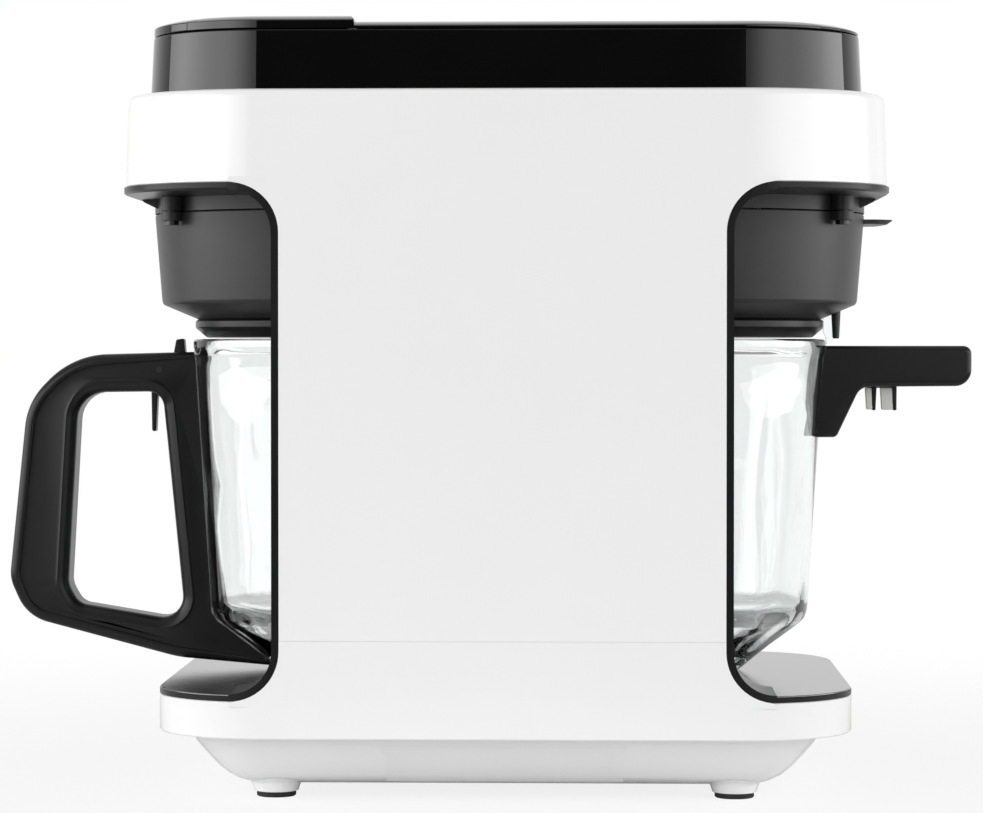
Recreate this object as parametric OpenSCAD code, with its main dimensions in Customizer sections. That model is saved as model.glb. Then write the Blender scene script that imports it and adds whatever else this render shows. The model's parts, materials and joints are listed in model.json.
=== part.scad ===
// Two-station countertop brewer: a C-shaped body with a central column, a jug on each side of it,
// swing-out brew baskets under the head and two hinged lids on top.
// Front is -Y, up is +Z, the origin lies on the table under the middle of the base.

/* [Base] */
// Width of the base across both stations
base_w = 325; // [320:1:336]
// Depth of the base, front to back
base_d = 230; // [224:1:250]
// Corner radius of the base seen from above
base_r = 50; // [44:1:56]
// Height of the underside of the white base band
band_z = 32.4; // [31:0.2:34]
// Height of the top of the white base band
deck_z = 49.7; // [49:0.1:52]
// How far the skirt of the underside pan stands in from the band
skirt_in = 14; // [11:1:17]
// How far the flat bottom of the pan stands in from the band
pan_in = 44; // [41:1:47]
// Height of the pan's flat bottom
pan_z = 7; // [6:0.5:8]
// How far the feet stand in from the sides of the base
foot_side = 54.5; // [52:0.5:66]
// How far the feet stand in from the front and the back of the base
foot_end = 53; // [50:0.5:60]
// Radius of a rubber foot pad
pad_r = 9.3; // [7:0.1:10]
// Thickness of a rubber foot pad
pad_h = 2.6; // [2:0.1:3]

/* [Body] */
// Wall thickness of the white mouldings
wall = 3; // [2.5:0.1:3.5]
// Width of the column between the bays
column_w = 204; // [200:1:208]
// Depth of the column, front to back
column_d = 42.5; // [40:0.5:43.5]
// Thickness of the column's front cover
cover_t = 2.5; // [2:0.1:3]
// Height of the seam between base and body on the column
seam_z = 77.4; // [76:0.2:80]
// Height of the lower edge of the white head
head_z = 286.9; // [286:0.1:292]
// Height of the white head band
head_h = 42.7; // [41:0.1:48]
// Width of the head
head_w = 360; // [354:1:368]
// Overhang of the head over the base at the front
head_front = 20; // [15:1:25]
// Corner radius of the head seen from above
head_r = 65; // [58:1:70]
// Corner radius of a bay seen from behind
bay_r = 23; // [20:0.5:25]
// Thickness of the dark bay liner
liner_t = 3.4; // [3:0.1:3.6]
// Thickness of a steel deck plate
deck_t = 0.8; // [0.6:0.1:1]

/* [Top] */
// How far the top cover stands in from the head
cover_in = 12.2; // [11:0.2:16]
// Height of the top cover above the head
cover_h = 27.4; // [25:0.2:30]
// Thickness of the flat service lid
lid_t = 4.4; // [4:0.1:5]
// Thickness of the raised fill lid
fill_t = 7.1; // [6.5:0.1:8]
// Where the raised part of the top begins
step_x = 68; // [62:1:72]
// Run of the slope between the two lid heights
step_run = 8; // [6:1:10]
// Depth of the fixed strip behind the lids
strip_d = 14; // [12:0.5:16]
// Radius of a lid hinge pin
lid_pin_r = 1.2; // [1:0.1:1.4]

/* [Stations] */
// Distance of a station's centre from the middle
station_x = 88; // [88:0.5:92]
// Distance of a station's centre in front of the base's middle
station_y = 15; // [15:0.5:18]
// Radius of a basket holder at its top
holder_r = 86.5; // [84:0.5:87]
// Radius of a basket holder above its bottom chamfer
holder_low_r = 83; // [80:0.5:83.5]
// Wall of a basket holder
holder_t = 2.6; // [2.2:0.1:3]
// Height of a holder's bottom
holder_z = 225.5; // [225:0.1:230]
// Height of a holder's bottom chamfer
holder_chamfer = 7.4; // [6:0.2:9]
// Height of a holder's top edge
holder_top = 276.4; // [275:0.1:276.6]
// Distance of the swing pivot from the middle, sideways
pivot_x = 160; // [159.5:0.1:161]
// Distance of the swing pivot behind the base's middle
pivot_y = 40.5; // [40:0.1:42]
// Radius of a swing pivot pin
pivot_r = 2.4; // [2:0.1:2.6]
// Outer radius of the outlet bowl
bowl_r = 66.8; // [62:0.2:67.4]
// Radius of a drip valve's stem
valve_r = 5; // [4:0.1:6]

/* [Jugs] */
// Height of a jug
jug_h = 162.6; // [155:0.2:162.8]
// Radius of a jug's rim
rim_r = 68; // [66:0.2:68.6]
// Radius of a jug above its conical bottom
jug_low_r = 59; // [57:0.2:61]
// Radius of a jug's foot
jug_foot_r = 26; // [22:0.5:30]
// Height of a jug's conical bottom
cone_h = 26.5; // [24:0.5:30]
// Wall of a jug
glass_t = 3.6; // [3:0.1:4.2]
// Thickness of a jug's bottom
glass_floor = 7; // [5:0.5:9]
// Thickness of a jug handle, front to back
handle_t = 24; // [20:0.5:28]
// Thickness of a handle trigger, front to back
trigger_t = 7; // [5:0.5:9]
// Radius of a trigger's pin
trigger_pin_r = 1.5; // [1.2:0.1:1.8]

/* [Controls] */
// Width of the control panel
panel_w = 176; // [172:1:190]
// Height of the control panel
panel_h = 32; // [30:0.5:36]
// Thickness of the control panel
panel_t = 2.5; // [2:0.1:3]
// Radius of the mode knob
knob_r = 12; // [10:0.5:13]
// Radius of a drink button
button_r = 6.5; // [5.5:0.1:7]
// Travel of a drink button
button_travel = 1.5; // [1:0.1:1.8]

/* [Inside] */
// Outer radius of a water hose
hose_r = 6.5; // [6:0.1:7]
// Bore radius of a water hose
hose_bore = 4.5; // [4:0.1:5]
// Wall of the water tank
tank_t = 2; // [1.6:0.1:2.4]
// Radius of a warming element
warmer_r = 46; // [40:0.5:50]

/* [Hidden] */
$fn = 96;
run = 0.1;               // running clearance of pins in bores
gap = 0.3;               // clearance between pieces that move apart
fit = 0.05;              // clearance of a fixed piece in its recess
eps = 0.01;
rear_y = base_d / 2;
base_front = -base_d / 2;
front_y = base_front - head_front;
column_y = rear_y - column_d;
deck_top = deck_z + liner_t - 0.3;
ceiling_z = head_z - liner_t;
head_top = head_z + head_h;
cover_top = head_top + cover_h;
plate_z = cover_top + gap;
far = head_w;
foot_x = base_w / 2 - foot_side;
foot_y = base_d / 2 - foot_end;
jug_z = deck_top + gap;
rim_z = jug_z + jug_h;
bowl_z = rim_z + 0.7;
under_z = holder_top + 0.5;
floor_t = 2.5;
panel_z = head_z + head_h / 2;
hose_z = 28;

// ---- helpers ----
module side(s) { if (s > 0) children(); else mirror([1, 0, 0]) children(); }
module station() { translate([station_x, -station_y, 0]) children(); }

// a rounded rectangle from above, between two depths
module plan(w, y0, y1, r) {
    translate([-w / 2 + r, y0]) square([w - 2 * r, y1 - y0]);
    translate([-w / 2, y0 + r]) square([w, y1 - y0 - 2 * r]);
    for (x = [-1, 1], y = [y0 + r, y1 - r])
        translate([x * (w / 2 - r), y]) circle(r);
}
module base_plan(in = 0) {
    plan(base_w - 2 * in, base_front + in, rear_y - in, max(base_r - in, 5));
}
module head_plan(in = 0) {
    plan(head_w - 2 * in, front_y + in, rear_y - in, max(head_r - in, 5));
}
// the dark flange under the head stands a little proud of the white band
flange = 1;
module flange_plan() { plan(head_w + 2 * flange, front_y - flange, rear_y, head_r + flange); }
module slab(z0, z1) { translate([0, 0, z0]) linear_extrude(z1 - z0) children(); }

// a shape in X and Z, swept front to back
module across(y0, y1) {
    translate([0, y1, 0]) rotate([90, 0, 0]) linear_extrude(y1 - y0) children();
}

// the opening of the bay at +X as seen from behind, shrunk by in
module bay(in = 0) {
    r = bay_r - in;
    x0 = column_w / 2 + in;
    z0 = deck_z + in;
    z1 = head_z - in;
    translate([x0 + r, z0]) square([far - x0 - r, z1 - z0]);
    translate([x0, z0 + r]) square([far - x0, z1 - z0 - 2 * r]);
    for (z = [z0 + r, z1 - r])
        translate([x0 + r, z]) circle(r);
}
module bays(in = 0) {
    bay(in);
    mirror([1, 0]) bay(in);
}

// a polygon whose corners [x, z, radius] are rounded
function unit(v) = v / norm(v);
function arc(a, b, c, r, n) =
    let (u = unit(a - b), v = unit(c - b), half = acos(u * v) / 2,
         centre = b + unit(u + v) * r / sin(half),
         s = b + u * r / tan(half) - centre, e = b + v * r / tan(half) - centre,
         start = atan2(s[1], s[0]), turn = atan2(s[0] * e[1] - s[1] * e[0], s * e))
    [for (i = [0:n]) centre + r * [cos(start + turn * i / n), sin(start + turn * i / n)]];
function flat(p) = [p[0], p[1]];
function rounded(pts, n = 6) =
    let (k = len(pts))
    [for (i = [0:k - 1])
        let (a = flat(pts[(i + k - 1) % k]), b = flat(pts[i]), c = flat(pts[(i + 1) % k]))
        each (pts[i][2] == 0 ? [b] : arc(a, b, c, pts[i][2], n))];

// a round bar along straight runs, with ball corners
module bar(points, r) {
    for (i = [0:len(points) - 2]) {
        d = points[i + 1] - points[i];
        translate(points[i])
            rotate([0, acos(d[2] / norm(d)), atan2(d[1], d[0])]) cylinder(r = r, h = norm(d));
        if (i > 0) translate(points[i]) sphere(r);
    }
}
module hose(points) {
    difference() {
        bar(points, hose_r);
        bar(points, hose_bore);
        for (k = [[0, 1], [len(points) - 1, len(points) - 2]]) {
            d = points[k[0]] - points[k[1]];
            translate(points[k[0]] - 0.5 * unit(d))
                rotate([0, acos(d[2] / norm(d)), atan2(d[1], d[0])]) cylinder(r = hose_bore, h = 1);
        }
    }
}

// ---- base ----
// one foot near each corner and one in the middle
foot_places = [[0, 0, 0], for (x = [-1, 1], y = [-1, 1]) [x * foot_x, y * foot_y, 0]];
screw_places = [for (x = [-1, 1], y = [-1, 1]) [x * (foot_x - 16), y * (foot_y + 3), 0]];
screw_r = 2;
gland_r = 6;
gland_x = -60;
gland_y = 20;
// heights of the skirt above the pan's bottom, and how far it stands in there
skirt_steps = [[4.5, 17], [14, 8], [20, 2.5]];
module pan_form(in) {
    hull($fn = 48) {
        slab(pan_z + in, pan_z + in + eps) base_plan(pan_in + in);
        for (s = skirt_steps) slab(pan_z + s[0], pan_z + s[0] + eps) base_plan(skirt_in + s[1] + in);
        slab(band_z - 1, band_z + (in > 0 ? eps : 0)) base_plan(skirt_in + in);
    }
}
module base_pan() color("white") difference() {
    union() {
        difference() {
            pan_form(0);
            pan_form(2.4);
        }
        for (p = foot_places)
            translate([p[0], p[1], pad_h]) cylinder(r1 = pad_r + 1, r2 = pad_r + 2.2, h = pan_z - pad_h + 1);
        for (p = screw_places)
            translate([p[0], p[1], pan_z]) cylinder(r = 5, h = 8);
        for (x = [-30, 30], y = [-1, 1])
            translate([x, board_y + y * 8, pan_z + 1]) cylinder(r = 2.5, h = board_z - pan_z - 1);
    }
    for (p = screw_places) {
        translate([p[0], p[1], pan_z - 1]) cylinder(r = screw_r + run, h = 12);
        translate([p[0], p[1], pan_z - 1]) cylinder(r = 4, h = 3.5);
    }
    translate([gland_x, gland_y, pan_z - 1]) cylinder(r = gland_r, h = 5);
}
module foot_pads() color("#181818") for (p = foot_places)
    translate(p) cylinder(r = pad_r, h = pad_h);
module base_screws() color("silver") for (p = screw_places) translate([p[0], p[1], pan_z + 0.2]) {
    cylinder(r = 3.8, h = 2.3);
    cylinder(r = screw_r, h = 16);
}
module cord_gland() color("#202020") translate([gland_x, gland_y, pan_z]) difference() {
    union() {
        translate([0, 0, -1.5]) cylinder(r = gland_r + 2, h = 1.5);
        cylinder(r = gland_r - run, h = 8);
    }
    translate([0, 0, -2]) cylinder(r = 3.8, h = 12);
}
module base_housing() color("white") difference() {
    union() {
        difference() {
            slab(band_z, deck_z) base_plan();
            slab(band_z - 1, deck_z - wall) base_plan(wall);
        }
        intersection() {
            across(column_y + cover_t, rear_y) difference() {
                translate([-base_w / 2, deck_z - wall]) square([base_w, seam_z - deck_z + wall]);
                bays();
            }
            slab(0, seam_z) base_plan();
        }
        for (p = screw_places)
            translate([p[0], p[1], pan_z + 8]) cylinder(r = 5, h = deck_z - wall - pan_z - 8 + eps);
    }
    intersection() {
        across(column_y + cover_t - 1, rear_y - wall) difference() {
            translate([-base_w / 2, deck_z - wall - 1]) square([base_w, seam_z]);
            bays(-wall);
        }
        slab(0, seam_z + 1) base_plan(wall);
    }
    side(1) station() slab(deck_z - wall - 1, deck_z + 1) circle(warmer_r + 1);
    side(-1) station() slab(deck_z - wall - 1, deck_z + 1) circle(warmer_r + 1);
    for (p = screw_places)
        translate([p[0], p[1], pan_z + 7]) cylinder(r = screw_r + run, h = 11);
}

// ---- body ----
tank_x0 = -60;
tank_x1 = 90;
neck_x0 = 30;
neck_x1 = 60;
neck_y1 = rear_y - 11.5;
riser_x = -72;
pipe_y = rear_y - 21;
outlet_x = 75;
shelf_t = 2.6;
tank_z = seam_z + shelf_t;
valve_neck_r = 14;
well_x0 = 30;
well_x1 = 132;
well_y0 = column_y - 46.5;
well_y1 = column_y + 11.5;
well_z = head_z + floor_t + 6;
module body_housing() color("white") difference() {
    union() {
        difference() {
            slab(head_z, head_top) head_plan();
            slab(head_z + floor_t, head_top + 1) head_plan(wall);
        }
        intersection() {
            across(column_y + cover_t, rear_y) difference() {
                translate([-head_w / 2, seam_z]) square([head_w, head_z + floor_t - seam_z]);
                bays();
            }
            slab(0, head_top) head_plan();
        }
        slab(head_top - rim_t, head_top) difference() {
            head_plan();
            cover_plan(-fit);
        }
        slab(head_top - cover_sink - rim_t, head_top) difference() {
            cover_plan(-rim_t);
            cover_plan(-fit);
        }
        slab(head_top - cover_sink - rim_t, head_top - cover_sink) difference() {
            cover_plan(-rim_t);
            cover_plan(wall);
        }
    }
    intersection() {
        across(column_y + cover_t - 1, rear_y - wall) difference() {
            translate([-head_w / 2, seam_z + shelf_t])
                square([head_w, head_z + floor_t - seam_z - shelf_t + 1]);
            bays(-wall);
        }
        slab(0, head_top) head_plan(wall);
    }
    for (s = [1, -1]) side(s) {
        station() slab(head_z - 1, head_z + floor_t + 1) circle(valve_neck_r + gap);
        translate([pivot_x, pivot_y, head_z - 1]) cylinder(r = pivot_r + run, h = 5);
    }
    translate([outlet_x, pipe_y, seam_z - 1]) cylinder(r = hose_r + 1.5, h = shelf_t + 2);
    translate([riser_x, pipe_y, seam_z - 1]) cylinder(r = hose_r + 0.5, h = shelf_t + 2);
    translate([-panel_w / 2 + 3, front_y - 1, panel_z - panel_h / 2 + 3])
        cube([panel_w - 6, wall + 2, panel_h - 6]);
}
module column_front() color("#303030")
    translate([-column_w / 2, column_y, deck_top + 0.1])
        cube([column_w, cover_t, under_z - deck_top - 0.2]);
// the dark liner of a bay: a C of sheet behind, a tray under the deck and a ceiling under the head
module liner(s) color("#383838") side(s) difference() {
    union() {
        intersection() {
            across(column_y, rear_y) difference() {
                bay();
                bay(liner_t);
            }
            union() {
                slab(0, seam_z + 60) base_plan();
                slab(seam_z + 60 - eps, head_top) flange_plan();
            }
        }
        intersection() {
            slab(deck_z, deck_z + liner_t - 0.3 - deck_t) base_plan();
            translate([gap, base_front - 1, 0]) cube([far, column_y - base_front + 2, far]);
        }
        intersection() {
            slab(ceiling_z, head_z) flange_plan();
            translate([gap, front_y - 2, 0]) cube([far, column_y - front_y + 3, far]);
        }
    }
    intersection() {
        slab(deck_top - deck_t, deck_top + 1) base_plan();
        translate([column_w / 2 + bay_r, base_front - 1, 0]) cube([far, far, far]);
    }
    station() slab(deck_z - 1, deck_top + 1) circle(warmer_r + 1);
    station() slab(ceiling_z - 1, head_z + 1) circle(valve_neck_r + gap);
    translate([pivot_x, pivot_y, ceiling_z - 1]) cylinder(r = pivot_r + run, h = 6);
}
module liner_coffee() liner(1);
module liner_tea() liner(-1);
module deck_plate(s) color("silver") side(s) intersection() {
    slab(deck_top - deck_t, deck_top) base_plan(0.2);
    union() {
        translate([gap, base_front, 0]) cube([far, column_y - base_front, far]);
        translate([column_w / 2 + bay_r + 0.1, base_front, 0]) cube([far, base_d, far]);
    }
}
module deck_plate_coffee() deck_plate(1);
module deck_plate_tea() deck_plate(-1);
module warmer(s) color("dimgray") side(s) station() {
    slab(deck_top - deck_t - 4, deck_top - deck_t) circle(warmer_r);
    slab(deck_top - deck_t - 8, deck_top - deck_t - 4) difference() {
        circle(warmer_r - 8);
        circle(warmer_r - 16);
    }
}
module warmer_coffee() warmer(1);
module warmer_tea() warmer(-1);
underside_y = 10;
module underside(s) color("gray") side(s) difference() {
    intersection() {
        hull($fn = 48) {
            slab(ceiling_z - eps, ceiling_z) head_plan(1.5);
            slab(under_z, under_z + eps) head_plan(12.5);
        }
        translate([gap, front_y, under_z]) cube([far, underside_y - front_y, ceiling_z - under_z]);
    }
    station() slab(under_z - 1, ceiling_z + 1) circle(collar_r + 0.2);
}
module underside_coffee() underside(1);
module underside_tea() underside(-1);
collar_r = holder_r;
boss_t = 2.8;              // wall of the pivot bosses
module head_collar(s) color("#3c3c3e") side(s) difference() {
    union() {
        station() slab(under_z, ceiling_z) difference() {
            circle(collar_r);
            circle(collar_r - holder_t);
        }
        translate([pivot_x, pivot_y, under_z]) cylinder(r = pivot_r + boss_t, h = ceiling_z - under_z);
    }
    translate([pivot_x, pivot_y, under_z - 1]) cylinder(r = pivot_r + run, h = 20);
}
module head_collar_coffee() head_collar(1);
module head_collar_tea() head_collar(-1);

// ---- top ----
cover_sink = 8;
rim_t = 2;
module cover_plan(in = 0) {
    plan(head_w - 2 * cover_in - 2 * in, front_y + 8 + in, rear_y - 6 - in, head_r - 8 - in);
}
strip_y = rear_y - 6 - strip_d;
fill_axis = [0, strip_y - fill_t / 2 - gap, plate_z + fill_t / 2];
service_axis = [0, strip_y - lid_t / 2 - gap, plate_z + lid_t / 2];
fill_knuckles = [step_x + 26, step_x + 58];
service_knuckles = [-60, -10];
store_x0 = -120;
store_y0 = -90;
store_w = 140;
store_d = 150;
store_depth = 12;
knuckle_w = 8;
// side view of the top plates: from behind, the raised part steps up at step_x
module top_step() polygon([[-far, plate_z - gap], [far, plate_z - gap], [far, plate_z + fill_t],
    [step_x + step_run / 2, plate_z + fill_t], [step_x - step_run / 2, plate_z + lid_t],
    [-far, plate_z + lid_t]]);
module top_cover() color("#101010") difference() {
    union() {
        difference() {
            slab(head_top - cover_sink, cover_top) cover_plan();
            slab(head_top - cover_sink - 1, cover_top - wall) cover_plan(wall);
        }
        intersection() {
            across(strip_y, rear_y) top_step();
            slab(head_top, far * 2) cover_plan();
        }
        for (x = fill_knuckles) knuckle(x, fill_axis, fill_t);
        for (x = service_knuckles) knuckle(x, service_axis, lid_t);
        slab(cover_top - store_depth - rim_t, cover_top - wall + eps)
            translate([store_x0 - rim_t, store_y0 - rim_t])
                square([store_w + 2 * rim_t, store_d + 2 * rim_t]);
    }
    translate([store_x0, store_y0, cover_top - store_depth]) cube([store_w, store_d, store_depth + 1]);
    for (x = fill_knuckles) pin_bore(x, fill_axis);
    for (x = service_knuckles) pin_bore(x, service_axis);
    translate([step_x + 8, well_y0 + 4, cover_top - wall - 1])
        cube([well_x1 - step_x - 14, well_y1 - well_y0 - 8, wall + 2]);
}
module knuckle(x, a, t) translate([x - knuckle_w / 2, 0, 0]) {
    translate([0, a[1], a[2]]) rotate([0, 90, 0]) cylinder(r = t / 2 - 0.1, h = knuckle_w);
    translate([0, a[1] - t / 2 + 0.1, cover_top - eps]) cube([knuckle_w, t - 0.2, a[2] - cover_top + eps]);
    translate([0, a[1], cover_top - eps])
        cube([knuckle_w, strip_y - a[1] + eps, a[2] + t / 2 - 0.6 - cover_top]);
}
module pin_bore(x, a) translate([x - 12, a[1], a[2]]) rotate([0, 90, 0]) cylinder(r = lid_pin_r + run / 2, h = 24);
module hinge_pins(places, a) for (x = places)
    translate([x - 11.5, a[1], a[2]]) rotate([0, 90, 0]) cylinder(r = lid_pin_r, h = 23);
module lid_plate(a, t, places) difference() {
    union() {
        slab(plate_z, plate_z + t) intersection() {
            cover_plan(0.3);
            translate([-far, front_y]) square([2 * far, a[1] - front_y]);
        }
        intersection() {
            translate([-far, a[1], a[2]]) rotate([0, 90, 0]) cylinder(r = t / 2, h = 2 * far);
            slab(plate_z, plate_z + t) cover_plan(0.3);
        }
    }
    for (x = places) {
        translate([x - knuckle_w / 2 - gap, a[1] - t / 2 - gap, plate_z - 1])
            cube([knuckle_w + 2 * gap, t + 2, t + 2]);
        pin_bore(x, a);
    }
}
module fill_lid() color("#101010") difference() {
    lid_plate(fill_axis, fill_t, fill_knuckles);
    across(front_y - 1, rear_y) polygon([[-far, 0], [step_x + gap, 0], [step_x + gap, plate_z + lid_t],
        [step_x + gap + step_run / 2, plate_z + fill_t + eps],
        [step_x + gap + step_run / 2, far * 2], [-far, far * 2]]);
}
module service_lid() color("#101010") difference() {
    lid_plate(service_axis, lid_t, service_knuckles);
    translate([step_x - gap, front_y, 0]) cube([far, far * 2, far * 2]);
}
module lid_pins() color("silver") {
    hinge_pins(fill_knuckles, fill_axis);
    hinge_pins(service_knuckles, service_axis);
}

// ---- baskets ----
ledge_z = holder_top - 3;
holder_floor = holder_z + 3;
basket_z = holder_floor + 15;
module basket_holder(s) color("#454547") side(s) difference() {
    union() {
        station() rotate_extrude() polygon([
            [0, holder_z], [bowl_r - 1, holder_z], [holder_low_r, holder_z + holder_chamfer],
            [holder_r, holder_top], [holder_r - holder_t, holder_top], [holder_r - holder_t, ledge_z],
            [holder_r - holder_t - 2, ledge_z], [holder_low_r - holder_t - 1, holder_z + holder_chamfer + 2],
            [bowl_r - 3, holder_floor], [0, holder_floor]]);
        difference() {
            translate([pivot_x, pivot_y, holder_top - ear_t]) {
                cylinder(r = pivot_r + boss_t, h = ear_t);
                rotate([0, 0, atan2(-station_y - pivot_y, station_x - pivot_x)])
                    translate([0, -arm_w / 2, 0]) cube([10, arm_w, ear_t]);
            }
            station() translate([0, 0, holder_top - ear_t - 1]) cylinder(r = holder_r - holder_t / 2, h = ear_t + 2);
        }
        if (s < 0) station() {
            tab();
            translate([guide_x, 0, holder_z - 9.5]) cylinder(r1 = 1.6, r2 = 2.4, h = 14.5);
        }
    }
    translate([pivot_x, pivot_y, holder_top - ear_t - 1]) cylinder(r = pivot_r + run / 2, h = ear_t + 2);
    station() translate([0, 0, holder_z - 1]) cylinder(r = valve_r + 0.5, h = 5);
}
// the finger tab on the tea holder's outer side, and the guide pin that hangs below its chamfer
tab_reach = 100.5;
guide_x = 73;
ear_t = 4.4;
arm_w = 8;
module tab() difference() {
    translate([0, 0, holder_top - 4.4]) linear_extrude(2.2) intersection() {
        circle(tab_reach);
        translate([60, -34]) square([tab_reach, 46]);
    }
    translate([0, 0, holder_top - 10]) cylinder(r = holder_r - holder_t / 2 - 0.4, h = 12);
}
module basket_holder_coffee() basket_holder(1);
module basket_holder_tea() basket_holder(-1);
module pivot_pin(s) color("silver") side(s) translate([pivot_x, pivot_y, 0]) {
    slab(holder_top - ear_t - 2, holder_top - ear_t - 0.1) circle(pivot_r + 1);
    slab(holder_top - ear_t - 2, head_z + floor_t + 1) circle(pivot_r);
}
module pivot_pin_coffee() pivot_pin(1);
module pivot_pin_tea() pivot_pin(-1);
// the clear lug that hangs from the tea holder beside its guide pin
module tea_drip_guide() color("lightcyan", 0.4) side(-1) station() difference() {
    across(-10, -3) polygon([[67.2, holder_z + 4], [67.2, holder_z - 6], [68.6, holder_z - 9.3],
        [68.8, holder_z - 12.3], [70.8, holder_z - 12.3], [72.4, holder_z - 9], [71, holder_z + 4]]);
    rotate_extrude() polygon([[0, holder_z], [bowl_r - 1, holder_z], [holder_low_r, holder_z + holder_chamfer],
        [0, holder_z + holder_chamfer]]);
}
module outlet_bowl(s) color("#181818") side(s) station() difference() {
    rotate_extrude() polygon([[0, bowl_z], [bowl_r - 5.8, bowl_z], [bowl_r, bowl_z + 5], [bowl_r, holder_z - 1],
        [bowl_r - 1.4, holder_z], [0, holder_z]]);
    translate([0, 0, bowl_z - 1]) cylinder(r = valve_r + run, h = 20);
}
module outlet_bowl_coffee() outlet_bowl(1);
module outlet_bowl_tea() outlet_bowl(-1);
module filter_basket(s) color("#2c2c2c") side(s) station() rotate_extrude() polygon([
    [0, basket_z], [26, basket_z], [holder_r - holder_t - 8, ledge_z], [holder_r - holder_t - 0.3, ledge_z],
    [holder_r - holder_t - 0.3, ledge_z + 1.5], [holder_r - holder_t - 9, ledge_z + 1.5],
    [25, basket_z + 1.5], [0, basket_z + 1.5]]);
module filter_basket_coffee() filter_basket(1);
module filter_basket_tea() filter_basket(-1);
flange_z = holder_floor + 0.2;
module drip_valve(s) color("whitesmoke") side(s) station() {
    slab(bowl_z + 0.1, flange_z) circle(valve_r);
    slab(flange_z, flange_z + 2) circle(valve_r + 4);
}
module drip_valve_coffee() drip_valve(1);
module drip_valve_tea() drip_valve(-1);
module drip_spring(s) color("silver") side(s) station() slab(flange_z + 2, basket_z) difference() {
    circle(valve_r + 2);
    circle(valve_r + 1);
}
module drip_spring_coffee() drip_spring(1);
module drip_spring_tea() drip_spring(-1);

// ---- jugs ----
neck = 7;
module jug_solid(in, up) rotate_extrude() polygon([
    [0, jug_z + up], [jug_foot_r - in * 0.4, jug_z + up], [jug_low_r - in - 1, jug_z + cone_h - 1.2 + in * 0.5],
    [jug_low_r - in, jug_z + cone_h + 1 + in * 0.5], [rim_r - in - 1, rim_z - neck], [rim_r - in, rim_z - neck + 2],
    [rim_r - in, rim_z - 1 + in], [rim_r - in - 1, rim_z + in], [0, rim_z + in]]);
module spout(in) translate([-rim_r + 8, 0, rim_z - 16 + in]) cylinder(r1 = 4 - in, r2 = 13.5 - in, h = 16);
module jug_glass(s) color("lightcyan", 0.4) side(s) station() difference() {
    union() {
        jug_solid(0, 0);
        spout(0);
    }
    jug_solid(glass_t, glass_floor);
    spout(2.9);
}
module coffee_jug_glass() jug_glass(1);
module tea_jug_glass() jug_glass(-1);

// outlines in X and Z, measured from the station's axis and the table
coffee_pivot = [84, rim_z - 15];
tea_pivot = [96, rim_z - 13];
module coffee_outline() difference() {
    polygon(rounded([[60, rim_z - 6, 0], [127, rim_z - 7.8, 27], [149.6, rim_z - 31, 21], [158.5, rim_z - 118, 16],
        [150, rim_z - 137, 20], [75, rim_z - 156.8, 60], [24, rim_z - 162.2, 0], [24, rim_z - 150, 0]]));
    polygon(rounded([[82.8, rim_z - 25.8, 8], [124, rim_z - 26.3, 14], [129.4, rim_z - 121, 12],
        [124, rim_z - 130.2, 8], [71.6, rim_z - 139, 10]]));
}
module tea_outline() polygon(rounded([[60, rim_z - 3.3, 0], [138.5, rim_z - 3.3, 4], [138.5, rim_z - 23, 8],
    [84.3, rim_z - 23.4, 7], [72.6, rim_z - 48.1, 3], [60, rim_z - 48.1, 0]]));
module handle_cut() { jug_solid(-0.1, -1); }
module coffee_trigger_shape(in = 0) polygon(rounded([
    [71.8 - in, rim_z - 10 - in, 0], [72.6 - in, rim_z + 0.4 + in, 1], [76.6 + in, rim_z - 0.2 + in, 1],
    [78 + in, rim_z - 8 + in, 0], [88 + in, rim_z - 8.4 + in, 2], [89 + in, rim_z - 20, 0], [88.6 + in, rim_z - 45.5 - in, 1],
    [86.6 - in, rim_z - 45.5 - in, 0.5], [85.6 - in, rim_z - 24, 0], [76 - in, rim_z - 18 - in, 0]], 3));
module tea_trigger_shape(in = 0) difference() {
    polygon(rounded([[87.3 - in, rim_z - 35 - in, 0], [87.3 - in, rim_z - 9 + in, 2], [102.8 + in, rim_z - 9 + in, 2],
        [102.8 + in, rim_z - 35 - in, 0]], 3));
    if (in == 0) translate([92.4, rim_z - 36]) square([2.2, 15]);
}
slot = 0.4;
module coffee_jug_handle() color("#1c1c1c") station() difference() {
    across(-handle_t / 2, handle_t / 2) coffee_outline();
    handle_cut();
    across(-trigger_t / 2 - slot, trigger_t / 2 + slot) {
        coffee_trigger_shape(2);
        translate([68, rim_z - 12]) square([10, 14]);
    }
    translate([coffee_pivot[0], handle_t, coffee_pivot[1]]) rotate([90, 0, 0])
        cylinder(r = trigger_pin_r + 0.02, h = 2 * handle_t);
}
module tea_jug_handle() color("#1c1c1c") side(-1) station() difference() {
    across(-handle_t / 2, handle_t / 2) tea_outline();
    handle_cut();
    across(-trigger_t / 2 - slot, trigger_t / 2 + slot) tea_trigger_shape(1.6);
    translate([tea_pivot[0], handle_t, tea_pivot[1]]) rotate([90, 0, 0])
        cylinder(r = trigger_pin_r + 0.02, h = 2 * handle_t);
}
module trigger_bore(p) translate([p[0], handle_t, p[1]]) rotate([90, 0, 0])
    cylinder(r = trigger_pin_r + run / 2, h = 2 * handle_t);
module coffee_jug_trigger() color("#262626") station() difference() {
    across(-trigger_t / 2, trigger_t / 2) coffee_trigger_shape();
    trigger_bore(coffee_pivot);
}
module tea_jug_trigger() color("#262626") side(-1) station() difference() {
    across(-trigger_t / 2, trigger_t / 2) tea_trigger_shape();
    trigger_bore(tea_pivot);
}
module trigger_pin(p) color("silver") station() translate([p[0], handle_t / 2 - 1, p[1]]) rotate([90, 0, 0])
    cylinder(r = trigger_pin_r, h = handle_t - 2);
module coffee_trigger_pin() trigger_pin(coffee_pivot);
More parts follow.
